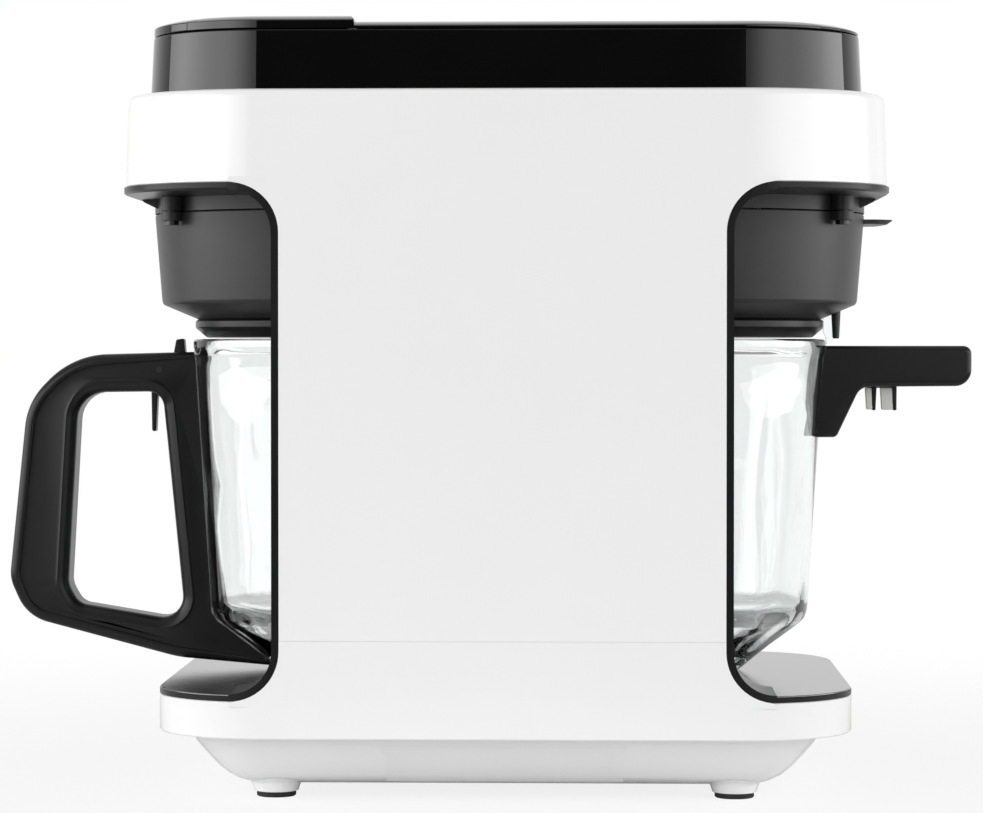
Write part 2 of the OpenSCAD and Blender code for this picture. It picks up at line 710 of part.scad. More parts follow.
module tea_trigger_pin() side(-1) trigger_pin(tea_pivot);

// ---- water circuit ----
pump_y = base_front + 62;
knee_z = 39;              // where the rear hoses bend forward, above the pan's skirt
knee_run = 24;
pump_x = 35;
pump_r = 15;
boiler_y = rear_y - 85;
board_y = -20;
board_z = 14;
spigot_r = hose_bore - 0.1;
pan_floor = pan_z + 2.4;
module tank_form(in) {
    translate([tank_x0 + in, column_y + cover_t + 0.5 + in, tank_z + in])
        cube([tank_x1 - tank_x0 - 2 * in, column_d - cover_t - wall - 1 - 2 * in, head_z - tank_z - 8 - 2 * in]);
    translate([neck_x0 + in, column_y + cover_t + 0.5 + in, tank_z + 40])
        cube([neck_x1 - neck_x0 - 2 * in, neck_y1 - column_y - cover_t - 0.5 - 2 * in, cover_top - wall - 6 - tank_z - 40 + in]);
    translate([well_x0 + in, well_y0 + in, well_z + in])
        cube([well_x1 - well_x0 - 2 * in, well_y1 - well_y0 - 2 * in, cover_top - wall - 6 - well_z]);
}
module water_tank() color("lightblue", 0.5) difference() {
    union() {
        tank_form(0);
        translate([outlet_x, pipe_y, tank_z - 12]) cylinder(r = spigot_r, h = 12 + eps);
    }
    tank_form(tank_t);
    translate([outlet_x, pipe_y, tank_z - 13]) cylinder(r = spigot_r - 1.4, h = 20);
}
module tank_outlet_seal() color("#202020") translate([outlet_x, pipe_y, seam_z + 0.2]) difference() {
    cylinder(r = hose_r + 1.4, h = shelf_t - 0.2);
    translate([0, 0, -1]) cylinder(r = spigot_r + 0.05, h = shelf_t + 2);
}
module pump() color("gray") translate([0, pump_y, hose_z]) rotate([0, 90, 0]) {
    translate([0, 0, -pump_x + 2]) cylinder(r = pump_r, h = 2 * pump_x - 4);
    for (k = [0, 1]) mirror([0, 0, k]) translate([0, 0, pump_x - 2 - eps]) cylinder(r = spigot_r, h = 14);
}
module pump_cradle() color("#202020") difference() {
    translate([-24, pump_y - pump_r, pan_floor]) cube([48, 2 * pump_r, 10]);
    translate([-30, pump_y, hose_z]) rotate([0, 90, 0]) cylinder(r = pump_r + 0.02, h = 60);
}
module boiler() color("silver") difference() {
    union() {
        translate([-36, boiler_y - 25, pan_floor + 4]) cube([72, 50, 26]);
        for (x = [-30, 22]) translate([x, boiler_y - 20, pan_floor]) cube([8, 40, 4 + eps]);
        for (y = [-12, 12]) translate([-36, boiler_y + y, hose_z]) rotate([0, -90, 0]) translate([0, 0, -eps])
            cylinder(r = spigot_r, h = 12);
    }
    for (y = [-12, 12]) translate([-10, boiler_y + y, hose_z]) rotate([0, -90, 0]) cylinder(r = spigot_r - 1.4, h = 60);
}
module power_board() color("darkgreen") {
    translate([-38, board_y - 13, board_z]) cube([76, 26, 1.6]);
    for (x = [-24, 0, 24]) translate([x - 7, board_y - 7, board_z + 1.6 - eps]) cube([14, 14, 12]);
}
valve_w = 36;
module diverter_valve() color("gainsboro") {
    translate([-valve_w / 2, pipe_y - 9, head_z + floor_t]) cube([valve_w, 18, 26]);
    translate([-valve_w / 2 + eps, pipe_y, valve_pipe_z]) rotate([0, -90, 0]) cylinder(r = spigot_r, h = 12);
    for (x = [-1, 1]) translate([x * branch_x, pipe_y - 9 + eps, valve_pipe_z]) rotate([90, 0, 0])
        cylinder(r = spigot_r, h = 12);
}
valve_pipe_z = head_z + floor_t + 16;
branch_x = 10;
module suction_hose() color("whitesmoke") hose([
    [outlet_x, pipe_y, seam_z], [outlet_x, pipe_y, knee_z], [outlet_x, pipe_y - knee_run, knee_z],
    [outlet_x, pipe_y - knee_run, hose_z],
    [outlet_x, pump_y, hose_z], [pump_x - 1, pump_y, hose_z]]);
module water_hoses() color("whitesmoke") {
    hose([[-pump_x + 1, pump_y, hose_z], [-pump_x - 22, pump_y, hose_z], [-pump_x - 22, boiler_y - 12, hose_z],
        [-36.5, boiler_y - 12, hose_z]]);
    hose([[-36.5, boiler_y + 12, hose_z], [riser_x, boiler_y + 12, hose_z], [riser_x, pipe_y - knee_run, hose_z],
        [riser_x, pipe_y - knee_run, knee_z], [riser_x, pipe_y, knee_z], [riser_x, pipe_y, valve_pipe_z], [-valve_w / 2 - 0.5, pipe_y, valve_pipe_z]]);
    for (s = [1, -1]) side(s) hose([[branch_x, pipe_y - 9.5, valve_pipe_z], [branch_x, -station_y, valve_pipe_z],
        [station_x - valve_neck_r - 0.5, -station_y, valve_pipe_z]]);
}
module shower_heads() color("gainsboro") for (s = [1, -1]) side(s) station() {
    slab(under_z + 0.3, ceiling_z - 0.1) circle(36);
    slab(ceiling_z - 0.1, valve_pipe_z + 8) circle(valve_neck_r);
    translate([-valve_neck_r + 1, 0, valve_pipe_z]) rotate([0, -90, 0]) cylinder(r = spigot_r, h = 12);
}

// ---- controls on the front of the head ----
face_y = front_y - 0.3;
outer_button = panel_w / 2 - 26;
inner_button = panel_w / 2 - 50;
button_x = [-outer_button, -inner_button, inner_button, outer_button];
rocker_x = panel_w / 2 - 9;
rocker_tilt = 8;
knob_shaft_r = 3;
module front_hole(x, r) translate([x, face_y - 10, panel_z]) rotate([-90, 0, 0]) cylinder(r = r, h = 30);
module control_panel() color("#141414") difference() {
    translate([-panel_w / 2, front_y - panel_t, panel_z - panel_h / 2]) cube([panel_w, panel_t, panel_h]);
    for (x = button_x) front_hole(x, button_r + run);
    front_hole(0, knob_shaft_r + run);
    translate([rocker_x - 5.5, front_y - 10, panel_z - 10.5]) cube([11, 20, 21]);
}
board_front = front_y + wall + 4;
module control_board() color("darkgreen") difference() {
    union() {
        translate([-panel_w / 2 + 6, board_front, head_z + floor_t]) cube([panel_w - 12, 1.6, head_h - floor_t - cover_sink - rim_t - 1]);
        for (x = button_x) translate([x - 3, board_front - 1.5, panel_z - 3]) cube([6, 1.5 + eps, 6]);
    }
    translate([0, board_front - 1, panel_z]) rotate([-90, 0, 0]) cylinder(r = knob_shaft_r + run, h = 4);
}
module mode_knob() color("silver") translate([0, 0, panel_z]) rotate([90, 0, 0]) {
    translate([0, 0, -(front_y - panel_t - gap)]) cylinder(r = knob_r, h = 12);
    translate([0, 0, -board_front - 5]) cylinder(r = knob_shaft_r, h = board_front - front_y + panel_t + 6);
    translate([-0.8, knob_r - 5, -(front_y - panel_t - gap) + 12 - eps]) cube([1.6, 4, 0.8]);
}
module drink_button(x) color("whitesmoke") translate([x, 0, panel_z]) rotate([90, 0, 0]) {
    translate([0, 0, -front_y - 2]) cylinder(r = button_r, h = panel_t + 4);
    translate([0, 0, -(board_front - 1.5 - button_travel - gap)])
        cylinder(r = button_r + 1.2, h = board_front - 1.5 - button_travel - gap - front_y - gap);
}
module coffee_button() drink_button(button_x[2]);
module coffee_large_button() drink_button(button_x[3]);
module tea_button() drink_button(button_x[1]);
module tea_large_button() drink_button(button_x[0]);
module power_rocker() color("#202020") translate([rocker_x, front_y, panel_z]) rotate([rocker_tilt, 0, 0])
    translate([-5, 0, 0]) rotate([90, 0, 90]) linear_extrude(10)
        polygon([[-3.2 - 1.3, 0], [-3.2, 9], [3, 9], [3, -9], [-3.2, -9]]);

base_pan();
base_housing();
foot_pads();
base_screws();
cord_gland();
body_housing();
column_front();
liner_coffee();
liner_tea();
deck_plate_coffee();
deck_plate_tea();
warmer_coffee();
warmer_tea();
underside_coffee();
underside_tea();
head_collar_coffee();
head_collar_tea();
top_cover();
fill_lid();
service_lid();
lid_pins();
basket_holder_coffee();
basket_holder_tea();
pivot_pin_coffee();
pivot_pin_tea();
outlet_bowl_coffee();
outlet_bowl_tea();
filter_basket_coffee();
filter_basket_tea();
drip_valve_coffee();
drip_valve_tea();
drip_spring_coffee();
drip_spring_tea();
tea_drip_guide();
coffee_jug_glass();
coffee_jug_handle();
coffee_jug_trigger();
coffee_trigger_pin();
tea_jug_glass();
tea_jug_handle();
tea_jug_trigger();
tea_trigger_pin();
water_tank();
tank_outlet_seal();
pump();
pump_cradle();
boiler();
power_board();
diverter_valve();
suction_hose();
water_hoses();
shower_heads();
control_panel();
control_board();
mode_knob();
coffee_button();
coffee_large_button();
tea_button();
tea_large_button();
power_rocker();
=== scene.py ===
"""Looks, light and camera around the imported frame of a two-station countertop brewer.

Millimetres are used for the shapes and turned into metres where a mesh is made.
+Z is up, -Y is the front with the controls, and the camera looks at the back from +Y.
"""
import json
import math

import bmesh
import bpy
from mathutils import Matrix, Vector, noise
from mathutils.geometry import tessellate_polygon


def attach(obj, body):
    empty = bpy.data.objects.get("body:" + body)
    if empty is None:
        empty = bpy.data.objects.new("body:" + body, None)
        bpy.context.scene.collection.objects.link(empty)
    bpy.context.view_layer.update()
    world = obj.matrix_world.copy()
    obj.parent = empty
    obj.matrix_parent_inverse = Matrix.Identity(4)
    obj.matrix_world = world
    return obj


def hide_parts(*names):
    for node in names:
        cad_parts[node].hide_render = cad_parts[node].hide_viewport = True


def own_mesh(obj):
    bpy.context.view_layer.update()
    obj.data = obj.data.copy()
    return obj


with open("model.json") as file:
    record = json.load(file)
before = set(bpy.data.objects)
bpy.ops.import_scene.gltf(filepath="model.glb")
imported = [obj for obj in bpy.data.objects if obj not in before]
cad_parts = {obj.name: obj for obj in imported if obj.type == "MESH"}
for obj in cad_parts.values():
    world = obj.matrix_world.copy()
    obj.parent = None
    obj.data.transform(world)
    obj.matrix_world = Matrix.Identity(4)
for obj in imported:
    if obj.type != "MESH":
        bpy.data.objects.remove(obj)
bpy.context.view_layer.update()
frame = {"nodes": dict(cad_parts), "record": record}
MM = 0.001

# ---- sizes, in mm, as in the source ----
REAR, FRONT = 115.0, -135.0
BASE_FRONT = -115.0
BASE_W, BASE_R, BAND_Z, DECK_Z = 325.0, 50.0, 32.4, 49.7
SEAM_Z, COLUMN_HALF, COLUMN_Y, BAY_R = 77.4, 102.0, 72.5, 23.0
HEAD_W, HEAD_R, HEAD_Z, HEAD_TOP = 360.0, 65.0, 286.9, 329.6
COVER_IN, COVER_TOP, SINK = 12.2, 357.0, 8.0
WARMER_HOLE = 47
PLATE_Z, LID_T, FILL_T, STEP_X = 357.3, 4.4, 7.1, 68.0
LINER_T, DECK_TOP, CEILING_Z, UNDER_Z = 3.4, 52.8, 283.5, 276.9
STATION = (88.0, -15.0)
HOLDER_R, HOLDER_LOW, HOLDER_T, HOLDER_Z, HOLDER_TOP = 86.5, 83.0, 2.6, 225.5, 276.4
BOWL_R, BOWL_Z = 66.8, 216.4
JUG_Z, RIM_Z = 53.1, 215.7
PANEL_Z, BUTTON_X, LARGE_X, ROCKER_X = 308.25, 38, 62, 79
PIVOT, EAR_Z = (160.0, 40.5), 272.0
HANDLE_HALF, SLOT_HALF, TRIGGER_HALF = 12, 3.9, 3.5
AXIS = 0.01  # how near to its axis a turned profile ends, instead of on it


# ---- node materials ----
def shader(name, color, rough, metallic=0.0, coat=0.0, coat_rough=0.03, specular=0.5,
           mottle=(0.0, 40.0), grain=(0.0, 900.0), stretch=(1, 1, 1), rough_var=0.0, bump=0.00002):
    """Procedural surface: mottled colour, uneven roughness and a fine bump, all in object space."""
    mat = bpy.data.materials.new(name)
    mat.use_nodes = True
    nodes, links = mat.node_tree.nodes, mat.node_tree.links
    bsdf = nodes["Principled BSDF"]
    bsdf.inputs["Roughness"].default_value = rough
    bsdf.inputs["Metallic"].default_value = metallic
    bsdf.inputs["Specular IOR Level"].default_value = specular
    bsdf.inputs["Coat Weight"].default_value = coat
    bsdf.inputs["Coat Roughness"].default_value = coat_rough
    where = nodes.new("ShaderNodeTexCoord")
    scale = nodes.new("ShaderNodeMapping")
    scale.inputs["Scale"].default_value = stretch
    links.new(where.outputs["Object"], scale.inputs["Vector"])

    def noise_node(size, detail=4.0):
        n = nodes.new("ShaderNodeTexNoise")
        n.inputs["Scale"].default_value = size
        n.inputs["Detail"].default_value = detail
        links.new(scale.outputs["Vector"], n.inputs["Vector"])
        return n

    broad = noise_node(mottle[1])
    ramp = nodes.new("ShaderNodeValToRGB")
    ramp.color_ramp.elements[0].position = 0.3
    ramp.color_ramp.elements[1].position = 0.7
    for end, sign in ((0, -1), (1, 1)):
        ramp.color_ramp.elements[end].color = [min(1, c * (1 + sign * mottle[0])) for c in color] + [1]
    links.new(broad.outputs["Fac"], ramp.inputs["Fac"])
    links.new(ramp.outputs["Color"], bsdf.inputs["Base Color"])
    if rough_var:
        span = nodes.new("ShaderNodeMapRange")
        span.inputs["To Min"].default_value = max(0.0, rough - rough_var)
        span.inputs["To Max"].default_value = rough + rough_var
        links.new(broad.outputs["Fac"], span.inputs["Value"])
        links.new(span.outputs["Result"], bsdf.inputs["Roughness"])
    if grain[0]:
        fine = noise_node(grain[1], 2.0)
        relief = nodes.new("ShaderNodeBump")
        relief.inputs["Strength"].default_value = grain[0]
        relief.inputs["Distance"].default_value = bump
        links.new(fine.outputs["Fac"], relief.inputs["Height"])
        links.new(relief.outputs["Normal"], bsdf.inputs["Normal"])
    return mat


def clear(name, color, rough=0.0, ior=1.5, shade=0.9):
    """Clear glass or plastic: light passes it without a black shadow."""
    mat = shader(name, color, rough, mottle=(0.004, 15.0), grain=(0.12, 34.0), bump=0.0012)
    nodes, links = mat.node_tree.nodes, mat.node_tree.links
    bsdf = nodes["Principled BSDF"]
    bsdf.inputs["Transmission Weight"].default_value = 1.0
    bsdf.inputs["IOR"].default_value = ior
    path = nodes.new("ShaderNodeLightPath")
    soft = nodes.new("ShaderNodeMath")
    soft.operation = "MAXIMUM"
    links.new(path.outputs["Is Shadow Ray"], soft.inputs[0])
    links.new(path.outputs["Is Diffuse Ray"], soft.inputs[1])
    through = nodes.new("ShaderNodeBsdfTransparent")
    through.inputs["Color"].default_value = [shade * c for c in color] + [1]
    mix = nodes.new("ShaderNodeMixShader")
    links.new(soft.outputs["Value"], mix.inputs["Fac"])
    links.new(bsdf.outputs["BSDF"], mix.inputs[1])
    links.new(through.outputs["BSDF"], mix.inputs[2])
    links.new(mix.outputs["Shader"], nodes["Material Output"].inputs["Surface"])
    return mat


WHITE = shader("white_gloss", (0.90, 0.90, 0.90), 0.22, coat=1.0, coat_rough=0.02,
               mottle=(0.006, 12.0), grain=(0.05, 240.0), rough_var=0.04)
BLACK = shader("black_gloss", (0.002, 0.002, 0.0022), 0.04, coat=0.0, specular=0.7,
               mottle=(0.2, 30.0), grain=(0.03, 260.0), rough_var=0.02)
CHARCOAL = shader("charcoal_satin", (0.024, 0.024, 0.025), 0.4, specular=0.45, mottle=(0.16, 55.0),
                  grain=(0.55, 2600.0), rough_var=0.05, bump=0.00004)
DARK = shader("dark_satin", (0.006, 0.006, 0.0062), 0.3, specular=0.3, mottle=(0.14, 50.0),
              grain=(0.4, 2400.0), rough_var=0.05)
HANDLE = shader("handle_satin", (0.008, 0.008, 0.0083), 0.3, specular=0.35, mottle=(0.12, 60.0),
                grain=(0.35, 2200.0), rough_var=0.04)
STEEL = shader("brushed_steel", (0.2, 0.2, 0.204), 0.16, metallic=1.0, mottle=(0.08, 16.0),
               grain=(0.25, 320.0), stretch=(1, 26, 1), rough_var=0.03)
PIN = shader("dark_steel", (0.06, 0.06, 0.062), 0.3, metallic=1.0, mottle=(0.05, 60.0),
             grain=(0.2, 1200.0), rough_var=0.05)
RUBBER = shader("rubber", (0.008, 0.008, 0.008), 0.7, mottle=(0.2, 80.0), grain=(0.6, 3000.0))
ALLOY = shader("cast_alloy", (0.6, 0.6, 0.61), 0.42, metallic=1.0, mottle=(0.1, 70.0), grain=(0.6, 900.0))
BOARD = shader("board_green", (0.012, 0.09, 0.035), 0.4, mottle=(0.3, 220.0), grain=(0.3, 700.0))
NATURAL = shader("natural_plastic", (0.72, 0.72, 0.7), 0.35, mottle=(0.03, 40.0), grain=(0.2, 1500.0))
SILICONE = shader("silicone", (0.7, 0.7, 0.66), 0.45, mottle=(0.05, 50.0), grain=(0.2, 900.0))
GLASS = clear("jug_glass", (0.97, 0.99, 0.985))
CLEAR = clear("clear_plastic", (0.95, 0.97, 0.97), 0.04, 1.47)
TANK = clear("tank_plastic", (0.82, 0.89, 0.93), 0.25, 1.4)

SLOT_LOOK = {"white_plastic": WHITE, "black_gloss": BLACK, "charcoal_plastic": CHARCOAL,
             "dark_plastic": DARK, "handle_plastic": HANDLE, "steel": STEEL, "pin_steel": PIN,
             "jug_glass": GLASS, "clear_plastic": CLEAR, "tank_plastic": TANK, "silicone": SILICONE,
             "rubber": RUBBER, "aluminium": ALLOY, "board_green": BOARD, "natural_plastic": NATURAL}


# ---- outlines ----
def plan(w, y0, y1, r, inset=0.0, n=18):
    """A rounded rectangle from above, with the same number of points whatever its size."""
    x, ya, yb, r = w / 2 - inset, y0 + inset, y1 - inset, max(r - inset, 1.5)
    corners = ((x - r, yb - r, 0), (-x + r, yb - r, 90), (-x + r, ya + r, 180), (x - r, ya + r, 270))
    out = []
    for cx, cy, start in corners:
        for i in range(n + 1):
            a = math.radians(start + 90 * i / n)
            out.append((cx + r * math.cos(a), cy + r * math.sin(a)))
    return out


def head(inset=0.0):
    return plan(HEAD_W, FRONT, REAR, HEAD_R, inset)


def base(inset=0.0):
    return plan(BASE_W, BASE_FRONT, REAR, BASE_R, inset)


def cover(inset=0.0):
    return plan(HEAD_W - 2 * COVER_IN, FRONT + 8, REAR - 6, HEAD_R - 8, inset)


def rounded(points, n=8):
    """A closed outline whose corners (x, z, radius) are rounded."""
    out = []
    for i, p in enumerate(points):
        b = Vector(p[:2])
        if p[2] == 0:
            out.append(tuple(b))
            continue
        u = (Vector(points[i - 1][:2]) - b).normalized()
        v = (Vector(points[(i + 1) % len(points)][:2]) - b).normalized()
        half = u.angle(v) / 2
        centre = b + (u + v).normalized() * p[2] / math.sin(half)
        s, e = b + u * p[2] / math.tan(half) - centre, b + v * p[2] / math.tan(half) - centre
        start = math.atan2(s.y, s.x)
        turn = math.atan2(s.x * e.y - s.y * e.x, s.dot(e))
        out += [(centre.x + p[2] * math.cos(start + turn * k / n),
                 centre.y + p[2] * math.sin(start + turn * k / n)) for k in range(n + 1)]
    return out


def area(points):
    return sum(a[0] * b[1] - b[0] * a[1] for a, b in zip(points, points[1:] + points[:1])) / 2


def moved_in(points, d):
    """The outline moved into its material by d: inwards where it runs anticlockwise."""
    out = []
    for i, p in enumerate(points):
        a, b = Vector(points[i - 1]), Vector(points[(i + 1) % len(points)])
        t = (b - a).normalized()
        out.append((p[0] - t.y * d, p[1] + t.x * d))
    return out


# ---- meshes ----
def build(name, verts, faces, merge=0.002):
    mesh = bpy.data.meshes.new(name)
    mesh.from_pydata([tuple(c * MM for c in v) for v in verts], [], faces)
    bm = bmesh.new()
    bm.from_mesh(mesh)
    bmesh.ops.remove_doubles(bm, verts=bm.verts, dist=merge * MM)
    bmesh.ops.recalc_face_normals(bm, faces=bm.faces)
    bm.to_mesh(mesh)
    bm.free()
    ob = bpy.data.objects.new(name, mesh)
    bpy.context.collection.objects.link(ob)
    return ob


def quads(rows, cols, turn=False, ring=True):
    """Faces between rows of points; turn joins the last row to the first, and ring closes each row."""
    return [(i * cols + j, i * cols + (j + 1) % cols,
             (i + 1) % rows * cols + (j + 1) % cols, (i + 1) % rows * cols + j)
            for i in range(rows if turn else rows - 1) for j in range(cols if ring else cols - 1)]


def loft(name, rings):
    n = len(rings[0])
    ends = [tuple(range(n)), tuple(range((len(rings) - 1) * n, len(rings) * n))]
    return build(name, [v for r in rings for v in r], quads(len(rings), n) + ends)


def spin(name, rows):
    """A solid between half-profiles that stand round an axis, each from axis to axis."""
    n, k = len(rows), len(rows[0])
    ends = [tuple(i * k + j for i in range(n)) for j in (0, k - 1)]
    return build(name, [v for row in rows for v in row], quads(n, k, True, False) + ends)


def levels(shape, steps):
    """Rings of one plan shape at (z, inset) steps."""
    return [[(x, y, z) for x, y in shape(inset)] for z, inset in steps]


def lathe(name, profile, at, n=128):
    """A closed profile of (r, z) turned about the vertical through at."""
    verts = []
    for i in range(n):
        a = 2 * math.pi * i / n
        verts += [(at[0] + r * math.cos(a), at[1] + r * math.sin(a), z) for r, z in profile]
    ob = build(name, verts, quads(n, len(profile), True))
    bm = bmesh.new()
    bm.from_mesh(ob.data)
    bmesh.ops.dissolve_degenerate(bm, dist=1e-6, edges=bm.edges)
    bm.to_mesh(ob.data)
    bm.free()
    return ob


def disc(r, z0, z1, at=STATION, n=64):
    """An upright cylinder to cut with."""
    return lathe("cutter", [(AXIS, z0), (r, z0), (r, z1), (AXIS, z1)], at, n)


def quarter(r, steps=5, depth=None):
    """A rounded edge as (distance in, depth) pairs from the side wall to the face."""
    depth = depth or r
    turns = [math.pi / 2 * i / steps for i in range(steps + 1)]
    return [(r * (1 - math.cos(t)), depth * (1 - math.sin(t))) for t in turns]


def prism(name, outline, y0, y1, holes=(), edge=((0, 0),), hole_edge=None):
    """A plate in X and Z between two depths; edge gives the shape of its rims."""
    loops = [(outline if area(outline) > 0 else outline[::-1], edge)]
    loops += [(h if area(h) < 0 else h[::-1], hole_edge or edge) for h in holes]
    verts, faces, rings = [], [], []
    for loop, rim in loops:
        depth = [(y0 + t, d) for d, t in reversed(rim)] + [(y1 - t, d) for d, t in rim]
        ring = []
        for y, d in depth:
            ring.append(len(verts))
            verts += [(x, y, z) for x, z in (moved_in(loop, d) if d else loop)]
        rings.append((ring, len(loop)))
        n = len(loop)
        for a, b in zip(ring, ring[1:]):
            faces += [(a + j, a + (j + 1) % n, b + (j + 1) % n, b + j) for j in range(n)]
    for end in (0, -1):
        ids = [ring[end] + j for ring, n in rings for j in range(n)]
        flat = [[Vector((verts[ring[end] + j][0], verts[ring[end] + j][2], 0)) for j in range(n)]
                for ring, n in rings]
        faces += [tuple(ids[k] for k in tri) for tri in tessellate_polygon(flat)]
    return build(name, verts, faces)


def carve(ob, cutter, how="DIFFERENCE"):
    """Cuts ob by another mesh, joins that to it or keeps what is in it; the other mesh is removed."""
    mod = ob.modifiers.new("carve", "BOOLEAN")
    mod.operation, mod.object, mod.solver = how, cutter, "EXACT"
    dg = bpy.context.evaluated_depsgraph_get()
    mesh = bpy.data.meshes.new_from_object(ob.evaluated_get(dg))
    ob.modifiers.remove(mod)
    ob.data = mesh
    bpy.data.objects.remove(cutter)
    return ob


def block(x0, x1, y0, y1, z0, z1):
    return prism("cutter", [(x0, z0), (x1, z0), (x1, z1), (x0, z1)], y0, y1)


def smooth(ob, angle=32, bevel=0.0, segments=2):
    for p in ob.data.polygons:
        p.use_smooth = True
    if bevel:
        mod = ob.modifiers.new("edges", "BEVEL")
        mod.width, mod.segments, mod.limit_method = bevel * MM, segments, "ANGLE"
        mod.angle_limit = math.radians(angle)
        mod.harden_normals = False
    else:
        ob.data.set_sharp_from_angle(angle=math.radians(angle))
    mod = ob.modifiers.new("normals", "WEIGHTED_NORMAL")
    mod.keep_sharp, mod.weight = True, 60
    return ob


def mirrored(ob):
    """Turns a piece of the coffee side into one of the tea side."""
    for v in ob.data.vertices:
        v.co.x = -v.co.x
    ob.data.flip_normals()
    return ob


def piece(ob, look, body, slot, *replaced):
    ob.data.materials.clear()
    ob.data.materials.append(look)
    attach(ob, body)
    if replaced:
        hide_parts(*replaced)
    return ob


SIDES = (("coffee", 1), ("tea", -1))


def for_side(ob, s):
    return ob if s > 0 else mirrored(ob)


# ---- camera ----
FOCAL_PX, IMAGE_W = 3300.0, 983.0


def make_camera():
    data = bpy.data.cameras.new("camera")
    cam = bpy.data.objects.new("camera", data)
    bpy.context.collection.objects.link(cam)
    data.sensor_width = 36.0
    data.lens = FOCAL_PX / IMAGE_W * data.sensor_width
    data.clip_end = 60
    cam.location = (-0.040, 1.615, 0.2103)
    look = Vector((math.tan(math.radians(1.71)), -1, -math.tan(math.radians(0.98))))
    cam.rotation_euler = look.to_track_quat("-Z", "Y").to_euler()
    bpy.context.scene.camera = cam
    bpy.context.scene.view_settings.view_transform = "Standard"
    bpy.context.scene.view_settings.look = "None"


# ---- light and floor, in metres ----
LAMP_DISTANCE, LAMP_Z = 1.6, 0.5


def softbox(name, azimuth, size, radiance, stops):
    """An upright area lamp that faces the object; its brightness runs along stops from end to end."""
    data = bpy.data.lights.new(name, "AREA")
    data.shape, data.size, data.size_y = "RECTANGLE", size[0], size[1]
    data.energy = radiance * math.pi * size[0] * size[1]
    data.use_nodes = True
    nodes, links = data.node_tree.nodes, data.node_tree.links
    where = nodes.new("ShaderNodeNewGeometry")
    split = nodes.new("ShaderNodeSeparateXYZ")
    ramp = nodes.new("ShaderNodeValToRGB")
    ramp.color_ramp.interpolation = "EASE"
    while len(ramp.color_ramp.elements) < len(stops):
        ramp.color_ramp.elements.new(0.5)
    for e, (pos, level) in zip(ramp.color_ramp.elements, stops):
        e.position, e.color = pos, (level, level, level, 1)
    links.new(where.outputs["Parametric"], split.inputs["Vector"])
    links.new(split.outputs["X"], ramp.inputs["Fac"])
    links.new(ramp.outputs["Color"], nodes["Emission"].inputs["Strength"])
    ob = bpy.data.objects.new(name, data)
    bpy.context.collection.objects.link(ob)
    a = math.radians(azimuth)
    ob.location = (LAMP_DISTANCE * math.sin(a), LAMP_DISTANCE * math.cos(a), LAMP_Z)
    ob.rotation_euler = Vector((-math.sin(a), -math.cos(a), 0)).to_track_quat("-Z", "Y").to_euler()
    ob.visible_camera = False
    return ob


def make_light():
    world = bpy.data.worlds.new("studio")
    bpy.context.scene.world = world
    world.use_nodes = True
    nodes, links = world.node_tree.nodes, world.node_tree.links
    path = nodes.new("ShaderNodeLightPath")
    where = nodes.new("ShaderNodeTexCoord")
    split = nodes.new("ShaderNodeSeparateXYZ")
    links.new(where.outputs["Generated"], split.inputs["Vector"])

    def spread(axis, start, end, low, high):
        """A strength that runs from low to high as the direction goes from start to end on an axis."""
        span = nodes.new("ShaderNodeMapRange")
        for socket, value in (("From Min", start), ("From Max", end), ("To Min", low), ("To Max", high)):
            span.inputs[socket].default_value = value
        links.new(split.outputs[axis], span.inputs["Value"])
        return span.outputs["Result"]

    def choose(ray, a, b):
        """b where the ray is of that kind, otherwise a; each is a number or a socket."""
        mix = nodes.new("ShaderNodeMix")
        links.new(path.outputs[ray], mix.inputs["Factor"])
        for socket, value in (("A", a), ("B", b)):
            if isinstance(value, float):
                mix.inputs[socket].default_value = value
            else:
                links.new(value, mix.inputs[socket])
        return mix.outputs["Result"]

    # what gloss sees: white behind the object and above it, dark on the side of the lamps
    gloss = nodes.new("ShaderNodeMath")
    gloss.operation = "MAXIMUM"
    links.new(spread("Y", 0.15, -0.75, 0.03, 0.9), gloss.inputs[0])
    links.new(spread("Z", 0.25, 0.9, 0.0, 0.7), gloss.inputs[1])
    room = choose("Is Glossy Ray", 0.40, gloss.outputs["Value"])
    # what is seen through glass: white behind, dark to the sides, so that the walls show as streaks
    room = choose("Is Transmission Ray", room, spread("Y", -0.12, -0.62, 0.10, 1.0))
    room = choose("Is Camera Ray", room, 1.0)
    links.new(room, nodes["Background"].inputs["Strength"])
    nodes["Background"].inputs["Color"].default_value = (1, 1, 1, 1)
    softbox("softbox_left", 59.5, (3.5, 1.0), 3.6, ((0, 0.45), (0.33, 1.0), (0.6, 0.75), (1, 0.2)))
    softbox("softbox_right", -58, (4.2, 1.0), 3.3, ((0, 0.14), (0.4, 0.55), (0.75, 1.0), (1, 0.8)))


